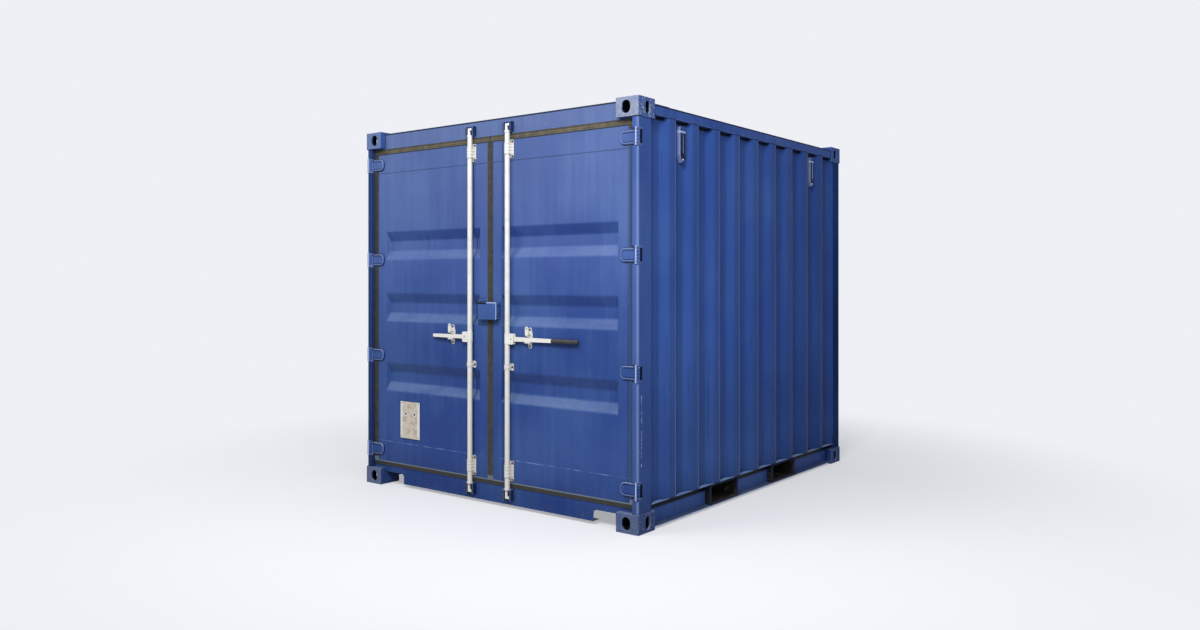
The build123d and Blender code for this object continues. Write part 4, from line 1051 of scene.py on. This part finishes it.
upper = half.math("GREATER_THAN", place.axis("Z"), given["Bottom"] + height * 0.5)
surface = shifted(surface, half.vector(0.0, 0.0, given["NotchTop"] - given["Top"]), past_notch * upper)
wall = half.node("GeometryNodeTransform", {},
                 {"Geometry": sheet_of(surface, given["Sheet"]),
                  "Rotation": turned_by(half, given["Turn"]),
                  "Translation": half.vector(given["AwayX"], given["AwayY"], 0.0)})
ribbed_sheet = end_rule(wall, given)
print("ribbed_sheet has", len(ribbed_sheet.nodes), "nodes")

# %% The three walls
wall_sheet = 2 * mm
side_pressing = dict(Pitch=278 * mm, Ribs=10, Inner=70 * mm, Slope=68 * mm, Depth=36 * mm,
                     Bend=16 * mm, Step=5 * mm)
end_pressing = dict(Pitch=250 * mm, Ribs=9, Inner=104 * mm, Slope=18 * mm, Depth=45.6 * mm,
                    Bend=7 * mm, Step=3 * mm)

no_start = bpy.data.meshes.new("no_start")
walls = {}

for node, turn, away, pressing in (("side_wall_left", -90, -1, side_pressing),
                                   ("side_wall_right", 90, 1, side_pressing),
                                   ("end_wall", 180, 0, end_pressing)):
    low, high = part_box(node)
    sizes = dict(pressing, Length=high.y - low.y if away else high.x - low.x,
                 Bottom=low.z, Top=high.z, Sheet=wall_sheet,
                 Notch=casting_inner_y if away else casting_inner_x, NotchTop=casting_low.z,
                 Turn=math.radians(turn), AwayX=away * max(-low.x, high.x),
                 AwayY=0.0 if away else high.y)
    mesh = outward(follow(ribbed_sheet, no_start, wall_paint, **sizes), node)
    add_piece(node + "_pressed", mesh, "root", wall_paint, [node])
    walls[node] = mesh
    print(node, len(mesh.polygons), "faces")

# %% [markdown]
# ## Door panels
#
# Each door's skin is a sheet with three long swages pressed inwards, so that it stays flat under
# its own weight and leaves room for the lock rods. A swage has a long slope above and below and
# short steep ends. The start mesh is a flat net whose lines lie close together where the bends
# will be and far apart where the sheet is flat, which keeps the mesh light; the rule then presses
# it in and gives it its thickness.

# %% The rule for a sheet with swages
given = new_rule("swaged_sheet", "Depth", "Slope", "EndSlope", "HalfHeight", "Left", "Right",
                 "Low", "Middle", "High", "Bend", "Sheet", "Front")
net = given["Geometry"]
place = place_of(net)
x, z = place.axis("X"), place.axis("Z")
up_slopes = [(given["HalfHeight"] - abs(z - given[name])) / given["Slope"]
             for name in ("Low", "Middle", "High")]
end_slopes = smaller(x - given["Left"], given["Right"] - x) / given["EndSlope"]
softness = given["Bend"] / given["Slope"]
share = net.math("SMOOTH_MIN", larger(*up_slopes), end_slopes, softness)
share = net.math("SMOOTH_MIN", share, 1.0, softness)
share = net.math("SMOOTH_MAX", share, 0.0, softness)
pressed = shifted(net, net.vector(0.0, given["Front"] + share * given["Depth"], 0.0))
swaged_sheet = end_rule(sheet_of(pressed, given["Sheet"]), given)
print("swaged_sheet has", len(swaged_sheet.nodes), "nodes")

# %% The two door panels
swage_half_height, swage_depth = 103.5 * mm, 36 * mm
swage_slope, swage_end_slope = 68 * mm, 14 * mm
swage_from_middle, swage_from_edge = 32 * mm, 45 * mm
swage_middles = (793.5 * mm, 1301.7 * mm, 1752.5 * mm)


def lines(first, last, bends, reach, count=4):
    """Places from first to last with a cluster around each bend."""
    places = {first, last}
    for bend in bends:
        places |= {bend + reach * (i / count - 1) for i in range(2 * count + 1)}
    return sorted(value for value in places if first <= value <= last)


def flat_net(xs, zs):
    """A flat net of faces in the plane Y = 0."""
    wide = len(xs)
    points = [(x, 0.0, z) for z in zs for x in xs]
    faces = [(j * wide + i, j * wide + i + 1, (j + 1) * wide + i + 1, (j + 1) * wide + i)
             for j in range(len(zs) - 1) for i in range(wide - 1)]
    mesh = bpy.data.meshes.new("net")
    mesh.from_pydata(points, [], faces)
    return mesh


for side, side_name in sides:
    node = side_name + "_door_panel"
    low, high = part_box(node)
    near, far = (low.x, high.x) if side > 0 else (high.x, low.x)
    left, right = sorted((near + side * swage_from_middle, far - side * swage_from_edge))
    bends_x = [left, left + swage_end_slope, right - swage_end_slope, right]
    bends_z = [middle + up * (swage_half_height - inset)
               for middle in swage_middles for up in (-1, 1) for inset in (0, swage_slope)]
    net = flat_net(lines(low.x, high.x, bends_x, 6 * mm, 3), lines(low.z, high.z, bends_z, 16 * mm))
    mesh = follow(swaged_sheet, net, door_paint, Depth=swage_depth, Slope=swage_slope,
                  EndSlope=swage_end_slope, HalfHeight=swage_half_height, Left=left, Right=right,
                  Low=swage_middles[0], Middle=swage_middles[1], High=swage_middles[2],
                  Bend=14 * mm, Sheet=wall_sheet, Front=low.y)
    mesh = outward(mesh, node)
    add_piece(node + "_pressed", mesh, side_name + "_door", door_paint, [node])
    print(node, len(mesh.polygons), "faces", [round(v, 4) for v in (low.y, high.y)])

# %% [markdown]
# ## Door gaskets
#
# A rubber gasket runs round each door. Its face lip lies over the door's edge, with a bead at
# either rim and a flat between two grooves, a stem goes back between door and frame, and a rear
# lip presses against the frame. The section is the same all the way round, so the gasket is a loft:
# one closed outline after another, each a rectangle with round corners at its own depth, and the
# last joined to the first. The ridges of the section get an attribute, because dirt stays on them
# and not in the grooves.

# %% Outlines and lofts
def frame_outline(x_near, x_far, low, high, radius, depth, steps=4):
    """Points round a rectangle with round corners, in a plane behind the castings' face."""
    points = []
    left, right = sorted((x_near, x_far))
    for x, z, start in ((right - radius, low + radius, -90), (right - radius, high - radius, 0),
                        (left + radius, high - radius, 90), (left + radius, low + radius, 180)):
        for step in range(steps + 1):
            angle = math.radians(start + 90 * step / steps)
            points.append((x + radius * math.cos(angle), cad_low.y + depth,
                           z + radius * math.sin(angle)))
    return points


def loft(outlines, closed, marks=None):
    """A skin through outlines of as many points each: a closed ring, or a bar with two ends."""
    shape = bmesh.new()
    layer = shape.verts.layers.float.new("ridge")
    rows = [[shape.verts.new(point) for point in outline] for outline in outlines]
    for row, mark in zip(rows, marks or []):
        for point in row:
            point[layer] = mark
    count = len(rows[0])
    for row, after in zip(rows, rows[1:] + rows[:1] if closed else rows[1:]):
        for i in range(count):
            j = (i + 1) % count
            shape.faces.new((row[i], row[j], after[j], after[i]))
    if not closed:
        for row in (rows[0], rows[-1]):
            shape.faces.new(row)
    bmesh.ops.recalc_face_normals(shape, faces=shape.faces)
    return shape


# %% The two gaskets
gasket_deep, gasket_stem_depth = 26 * mm, 20 * mm
stem_out = 10 * mm
# The lip from its inner rim to its outer one: how far out, how deep in millimetres, and how
# much of a ridge.
lip_section = ((0.0, 3.0, 0.0), (0.0, 0.9, 0.0), (0.05, 0.2, 0.1), (0.14, 0.0, 0.6),
               (0.24, 0.6, 0.8), (0.28, 1.4, 0.5), (0.38, 1.4, 0.5), (0.42, 0.8, 0.9),
               (0.52, 0.5, 1.0), (0.64, 0.8, 0.8), (0.68, 1.6, 0.4), (0.78, 1.6, 0.3),
               (0.82, 0.5, 0.5), (0.90, 0.0, 0.3), (0.97, 0.3, 0.0), (1.0, 1.2, 0.0),
               (1.0, 3.0, 0.0))

for side, side_name in sides:
    node = side_name + "_door_gasket"
    low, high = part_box(node)
    edge_low, edge_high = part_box(side_name + "_door_frame")
    lip_face = low.y - cad_low.y
    door_face = lip_face + 3 * mm
    near, far = sorted((abs(low.x), abs(high.x)))
    edge_near, edge_far = sorted((abs(edge_low.x), abs(edge_high.x)))
    inner = (edge_near + lip_over["middle"], edge_far - lip_over["far"],
             edge_low.z + lip_over["low"], edge_high.z - lip_over["high"])
    outer = (near, far, low.z, high.z)
    stem = (near + 0.25 * mm, edge_far + stem_out, edge_low.z - stem_out, edge_high.z + stem_out)
    edge = (edge_near, edge_far, edge_low.z, edge_high.z)

    section = []
    for share, drop, mark in lip_section:
        corners = [start + share * (end - start) for start, end in zip(inner, outer)]
        section.append((corners, (3 + 7 * share) * mm, lip_face + drop * mm, mark))
    section += [(stem, 3 * mm, door_face, 0.0), (stem, 3 * mm, door_face + gasket_stem_depth, 0.0),
                (outer, 3 * mm, door_face + gasket_stem_depth, 0.0),
                (outer, 3 * mm, door_face + gasket_deep, 0.0),
                (edge, 1 * mm, door_face + gasket_deep, 0.0), (edge, 1 * mm, door_face, 0.0)]
    outlines = [frame_outline(side * corners[0], side * corners[1], *corners[2:], radius, depth)
                for corners, radius, depth, mark in section]
    shape = loft(outlines, True, [mark for corners, radius, depth, mark in section])
    add_piece(node + "_moulded", finished(shape, node), side_name + "_door", rubber_finish,
              [node])
    print(node, "with", len(section), "outlines")

# %% [markdown]
# ## Grip
#
# The right handle ends in a dark plastic sleeve pushed over its round shank. Such a sleeve has a
# collar at its open end, shallow rings for the hand, and a rounded closed end. It is turned: each
# outline is a circle whose radius comes from the place along the sleeve.

# %% Turned sleeve
sleeve_low, sleeve_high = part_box("right_handle_grip")
sleeve_radius = (sleeve_high.z - sleeve_low.z) / 2
sleeve_axis_y, sleeve_axis_z = (sleeve_low.y + sleeve_high.y) / 2, (sleeve_low.z + sleeve_high.z) / 2
sleeve_length = sleeve_high.x - sleeve_low.x
collar_length, tip_length = 14 * mm, 14 * mm
ring_pitch, ring_depth = 9 * mm, 0.9 * mm
collar_step, tip_step = 0.8 * mm, 0.6 * mm
sleeve_sides = 28


def circle_outline(x, radius):
    """Points round a circle across the sleeve's axis."""
    turn = 2 * math.pi / sleeve_sides
    return [(x, sleeve_axis_y + radius * math.cos(i * turn),
             sleeve_axis_z + radius * math.sin(i * turn)) for i in range(sleeve_sides)]


def sleeve_profile(along):
    """The sleeve's radius at a distance from its open end."""
    if along < collar_length:
        return sleeve_radius
    past_tip = along - (sleeve_length - tip_length)
    if past_tip > 0:
        return (sleeve_radius - tip_step) * math.sqrt(max(0.01, 1 - (past_tip / tip_length) ** 2))
    ring = 0.5 - 0.5 * math.cos(2 * math.pi * along / ring_pitch)
    return sleeve_radius - collar_step - ring_depth * ring


steps = 130
places = [sleeve_length * i / steps for i in range(steps + 1)]
turned = [circle_outline(sleeve_low.x + along, sleeve_profile(along)) for along in places]
add_piece("right_handle_grip_turned", finished(loft(turned, False), "sleeve"), "right_handle_lever",
          sleeve_finish, ["right_handle_grip"])
print("sleeve", round(sleeve_length / mm), "mm long, radius", round(sleeve_radius / mm, 1), "mm")

# %% [markdown]
# ## Bolts, rivets and screws
#
# Brackets and handle retainers are bolted to the doors, plates and ventilators are riveted, and
# the floor is screwed down to every cross member. One rule makes them all: a low round base with a
# smaller body on it, which has six sides on a nut and twelve on a rivet. It sets one on each point
# of the start mesh. An attribute of the point says which way the head faces, and each is turned by
# chance about its own axis, with a fixed seed, because nobody lines up nuts.

# %% The rule for heads
head_sizes = ("Radius", "Taper", "Height", "TopRadius", "TopTaper", "TopHeight", "Sides")
base_sides, chance_seed = 12, 4
given = new_rule("heads", *head_sizes)
points = given["Geometry"]


def cone(sides, radius, taper, height):
    """A round or many-sided body that narrows to a share of its radius."""
    return points.node("GeometryNodeMeshCone", {}, {"Vertices": sides, "Radius Bottom": radius,
                                                    "Radius Top": radius * taper, "Depth": height})


base = cone(base_sides, given["Radius"], given["Taper"], given["Height"])
top = cone(given["Sides"], given["TopRadius"], given["TopTaper"], given["TopHeight"])
top = points.node("GeometryNodeTransform", {},
                  {"Geometry": top, "Translation": points.vector(0.0, 0.0, given["Height"])})
head = points.node("GeometryNodeJoinGeometry", {}, {"Geometry": [base, top]})
facing = points.node("GeometryNodeInputNamedAttribute", {"data_type": "FLOAT_VECTOR"},
                     {"Name": "facing"})
upright = points.node("FunctionNodeAlignRotationToVector", {"axis": "Z"}, {"Vector": facing})
chance = points.node("FunctionNodeRandomValue", {"data_type": "FLOAT"},
                     {2: 0.0, 3: 2 * math.pi, 8: chance_seed}, 1)
turned = points.node("FunctionNodeRotateRotation", {"rotation_space": "LOCAL"},
                     {0: upright, 1: turned_by(points, chance)})
set_on = points.node("GeometryNodeInstanceOnPoints", {},
                     {"Points": points, "Instance": head, "Rotation": turned})
heads_rule = end_rule(set_on, given)
head_kinds = {
    "bolts": (bolt_finish, "galvanised_steel", (8.5 * mm, 0.96, 1.5 * mm, 6.5 * mm, 0.94, 4.5 * mm, 6)),
    "rivets": (seam_paint, "blue_paint", (7.0 * mm, 0.92, 1.6 * mm, 6.2 * mm, 0.6, 1.6 * mm, 12)),
    "studs": (zinc_finish, "blue_paint", (6.5 * mm, 0.92, 1.4 * mm, 5.5 * mm, 0.6, 1.4 * mm, 12)),
    "pins": (bolt_finish, "data_plate", (4.5 * mm, 0.9, 1.0 * mm, 3.8 * mm, 0.6, 0.9 * mm, 12)),
    "screws": (bolt_finish, "plywood", (7.0 * mm, 0.96, 0.7 * mm, 4.0 * mm, 0.9, 0.3 * mm, 6)),
}
heads = {}


def put_head(kind, body, place, facing):
    heads.setdefault((kind, body), []).append((place, facing))


print("kinds of heads:", list(head_kinds))

# %% Where the heads sit
outwards = (0, -1, 0)
rod_from_middle = 170 * mm
bracket_bolt_out, bolt_from_end, one_row_under = 30 * mm, 12 * mm, 60 * mm
low_bracket, middle_bracket, high_bracket = 134 * mm, (908 * mm, 955 * mm), 120 * mm
box_rivets = ((1262 * mm, 14 * mm), (1282 * mm, 27 * mm), (1333 * mm, 27 * mm))
clevis_pin = (212 * mm, 8 * mm, 1117 * mm)
plate_pin_inset, vent_rivet_inset = 11 * mm, 20 * mm
screw_rows = (0, 240 * mm, 660 * mm, 930 * mm, 1200 * mm)
screw_places = (40 * mm, 300 * mm, 570 * mm, 840 * mm, 1110 * mm)
screw_off_middle = 12 * mm
sheet_metal = 3.5 * mm
plate_face = door_face + cad_low.y - sheet_metal

for side, side_name in sides:
    door, rod = side_name + "_door", side_name + "_rod"
    low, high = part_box(side_name + "_rod_brackets")
    for bottom, top in ((low.z, low.z + low_bracket), middle_bracket, (high.z - high_bracket, high.z)):
        rows = [bottom + bolt_from_end, top - bolt_from_end]
        if top - bottom < one_row_under:
            rows = [(bottom + top) / 2]
        for z in rows:
            for out in (-1, 1):
                x = side * rod_from_middle + out * bracket_bolt_out
                put_head("bolts", door, (x, plate_face, z), outwards)
    low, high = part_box(side_name + "_handle_retainer")
    for z in (low.z + bolt_from_end, high.z - bolt_from_end):
        put_head("bolts", door, ((low.x + high.x) / 2, plate_face, z), outwards)
    for z, depth in box_rivets:
        put_head("rivets", door, (side * cover_high.x, cad_low.y + depth, z), (side, 0, 0))
    out, depth, z = clevis_pin
    put_head("pins", rod, (side * out, cad_low.y + depth, z), outwards)

for x in (plate_low.x + plate_pin_inset, plate_high.x - plate_pin_inset):
    for z in (plate_low.z + plate_pin_inset, plate_high.z - plate_pin_inset):
        put_head("pins", "left_door", (x, plate_low.y, z), outwards)

for side, side_name in sides:
    x = side * vent_high.x
    for y in (-vent_middle, vent_middle):
        put_head("studs", "root", (x, y, vent_low.z + vent_rivet_inset), (side, 0, 0))
        for out in (-vent_rivet_inset, vent_rivet_inset):
            put_head("rivets", "root", (x, y + out, vent_high.z - vent_rivet_inset), (side, 0, 0))

floor_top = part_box("floor_boards")[1].z
for row in screw_rows:
    for y in sorted({-row, row}):
        for x in screw_places:
            for side, side_name in sides:
                put_head("screws", "root", (side * x, y + screw_off_middle, floor_top), (0, 0, 1))

for (kind, body), places in heads.items():
    finish, slot, sizes = head_kinds[kind]
    start = bpy.data.meshes.new("points")
    start.from_pydata([place for place, facing in places], [], [])
    facings = start.attributes.new("facing", "FLOAT_VECTOR", "POINT")
    for item, (place, facing) in zip(facings.data, places):
        item.vector = facing
    mesh = outward(follow(heads_rule, start, finish, **dict(zip(head_sizes, sizes))), kind)
    add_piece(f"{body}_{kind}", mesh, body, finish)
    print(body, kind, len(places))

# %% [markdown]
# ## Weld beads
#
# The frame, the walls and the doors are all welded. A bead of weld is a round cord of metal with a
# ripple from each time that the welder moved on, and it is never quite even. A bead follows the
# seam between two parts, so the rule takes the seam as bare edges, makes a curve of it, cuts that
# into equal steps and sweeps a small circle along it, with every other step thinner and a slow
# unevenness from noise. For the ribbed walls the seam is the sheet's own rim, read from its mesh.

# %% The rule for a weld bead
uneven_length, ring_sides, same_point = 30 * mm, 6, 0.05 * mm
given = new_rule("weld_bead", "Radius", "Step", "Ripple")
seam = given["Geometry"]
line = seam.node("GeometryNodeMeshToCurve", {}, {"Mesh": seam})
line = seam.node("GeometryNodeResampleCurve", {"mode": "LENGTH"},
                 {"Curve": line, "Length": given["Step"]})
step = seam.node("GeometryNodeInputIndex", {}, {})
ripple = seam.math("FLOORED_MODULO", step, 2.0) * given["Ripple"]
place = place_of(seam)
uneven = place.node("ShaderNodeTexNoise", {}, {0: place, 2: 1 / uneven_length, 3: 2.0}) * 0.7 + 0.65
ring = seam.node("GeometryNodeCurvePrimitiveCircle", {}, {0: ring_sides, 4: given["Radius"]})
bead = seam.node("GeometryNodeCurveToMesh", {},
                 {"Curve": line, "Profile Curve": ring, "Scale": uneven * (1.0 - ripple),
                  "Fill Caps": True})
weld_rule = end_rule(bead, given)


def weld(name, body, paths, radius, finish=steel_paint, step=6 * mm, ripple=0.28):
    """One mesh of beads along paths; a path whose last point is its first is closed."""
    points, edges, known = [], [], {}
    for path in paths:
        numbers = []
        for point in path:
            key = tuple(round(value / same_point) for value in point)
            if key not in known:
                known[key] = len(points)
                points.append(point)
            numbers.append(known[key])
        edges += [pair for pair in zip(numbers, numbers[1:]) if pair[0] != pair[1]]
    start = bpy.data.meshes.new("seam")
    start.from_pydata(points, edges, [])
    mesh = follow(weld_rule, start, finish, Radius=radius, Step=step, Ripple=ripple)
    mesh = outward(mesh, name, math.pi)
    add_piece(name, mesh, body, finish)
    print(name, len(mesh.polygons), "faces")


# %% Seams of the walls
def outer_rim(mesh, outward_axis):
    """The edges where a sheet's outer face meets its rim, as paths of two points."""
    shape = bmesh.new()
    shape.from_mesh(mesh)
    outward_axis = Vector(outward_axis)
    paths = []
    for edge in shape.edges:
        turned_out = sorted(face.normal.dot(outward_axis) for face in edge.link_faces)
        if len(turned_out) == 2 and abs(turned_out[0]) < 0.05 and turned_out[1] > 0.2:
            paths.append([tuple(point.co) for point in edge.verts])
    shape.free()
    return paths


wall_bead = 3 * mm
for node, outward_axis in (("side_wall_left", (-1, 0, 0)), ("side_wall_right", (1, 0, 0)),
                           ("end_wall", (0, 1, 0))):
    weld(node + "_welds", "root", outer_rim(walls[node], outward_axis), wall_bead, seam_paint)

# %% Seams of the frame
frame_bead, rail_edge_inset, header_seam_start = 3.4 * mm, 1 * mm, 8 * mm
sill_cut, sill_step = 95 * mm, 138 * mm
keeper_low_top, keeper_high_bottom, cheek_out = 136 * mm, 2478 * mm, 34 * mm
casting_top = cad_high.z - casting_low.z
sill_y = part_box("door_sill")[0].y
keeper_low, keeper_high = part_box("cam_keepers")


def near_to_far(low, high, side):
    """The X of a part's sides, first the one towards the middle."""
    return (low.x, high.x) if side > 0 else (high.x, low.x)


seams = []
for side, side_name in sides:
    for node in ("door_post_" + side_name, "end_post_" + side_name):
        low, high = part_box(node)
        inner, outer = near_to_far(low, high, side)
        for z in (low.z, high.z):
            seams.append([(inner, low.y, z), (outer, low.y, z), (outer, high.y, z), (inner, high.y, z)])
    low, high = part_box("top_side_rail_" + side_name)
    inner, outer = near_to_far(low, high, side)
    for y in (low.y, high.y):
        seams.append([(inner, y, high.z), (outer, y, high.z), (outer, y, low.z), (inner, y, low.z)])
    rail_x = outer - side * rail_edge_inset
    seams.append([(rail_x, low.y, high.z), (rail_x, high.y, high.z)])
    low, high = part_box("door_header")
    end_x = near_to_far(low, high, side)[1]
    seams.append([(end_x, low.y, low.z + header_seam_start), (end_x, low.y, high.z),
                  (end_x, high.y, high.z)])
    notch_x, post_x = side * casting_inner_x, side * post_low.x
    seams.append([(notch_x, sill_y, sill_cut), (notch_x, sill_y, casting_top),
                  (post_x, sill_y, casting_top), (post_x, sill_y, sill_step)])
    for bottom, top in ((keeper_low.z, keeper_low_top), (keeper_high_bottom, keeper_high.z)):
        for out in (-cheek_out, cheek_out):
            x = side * rod_from_middle + out
            seams.append([(x, keeper_high.y, bottom), (x, keeper_high.y, top)])
weld("frame_welds", "root", seams, frame_bead, seam_paint)

# %% Seams of the doors
blade_reach, panel_seam_depth = 84 * mm, 1.2 * mm
panel_bead, door_bead = 2.0 * mm, 4.5 * mm
box_seam_start = 26 * mm


def blade_path(start_x, end_x, inset):
    """From the lower side of a hinge's blade round its end to the upper side, inside its outline."""
    radius = blade_corner - inset
    path = [(start_x, inset - blade_half)]
    for turn in range(0, 91, 15):
        angle = math.radians(turn)
        path.append((end_x + inset + radius * (1 - math.sin(angle)),
                     inset - blade_half + radius * (1 - math.cos(angle))))
    return path + [(x, -z) for x, z in reversed(path)]


for side, side_name in sides:
    edge_low, edge_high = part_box(side_name + "_door_frame")
    low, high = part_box(side_name + "_door_panel")
    door, face_y = side_name + "_door", edge_low.y
    seam_y = face_y + panel_seam_depth
    corners = [(low.x, low.z), (high.x, low.z), (high.x, high.z), (low.x, high.z), (low.x, low.z)]
    seams = [[(x, seam_y, z) for x, z in corners]]
    for x in (low.x, high.x):
        seams.append([(x, seam_y, edge_low.z), (x, seam_y, low.z)])
        seams.append([(x, seam_y, high.z), (x, seam_y, edge_high.z)])
    weld(side_name + "_panel_welds", door, seams, panel_bead, door_paint, ripple=0.2)

    seams, rims = [], []
    end_x = max(-edge_low.x, edge_high.x) - blade_reach
    start_x = end_x + blade_reach - lip_over["far"]
    for middle in hinge_middles:
        path = blade_path(start_x, end_x, 0)
        seams.append([(side * x, face_y, middle + z) for x, z in path])
        path = blade_path(rim_end, end_x, rim_inset)
        rims.append([(side * x, blade_face, middle + z) for x, z in path])
    weld(side_name + "_blade_rims", door, rims, rim_radius, hinge_paint, ripple=0)
    low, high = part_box(side_name + "_lock_box")
    inner_x, outer_x = side * box_seam_start, side * max(-low.x, high.x)
    seams.append([(inner_x, face_y, high.z), (outer_x, face_y, high.z),
                  (outer_x, face_y, low.z), (inner_x, face_y, low.z)])
    weld(side_name + "_door_welds", door, seams, door_bead, seam_paint)

# %% [markdown]
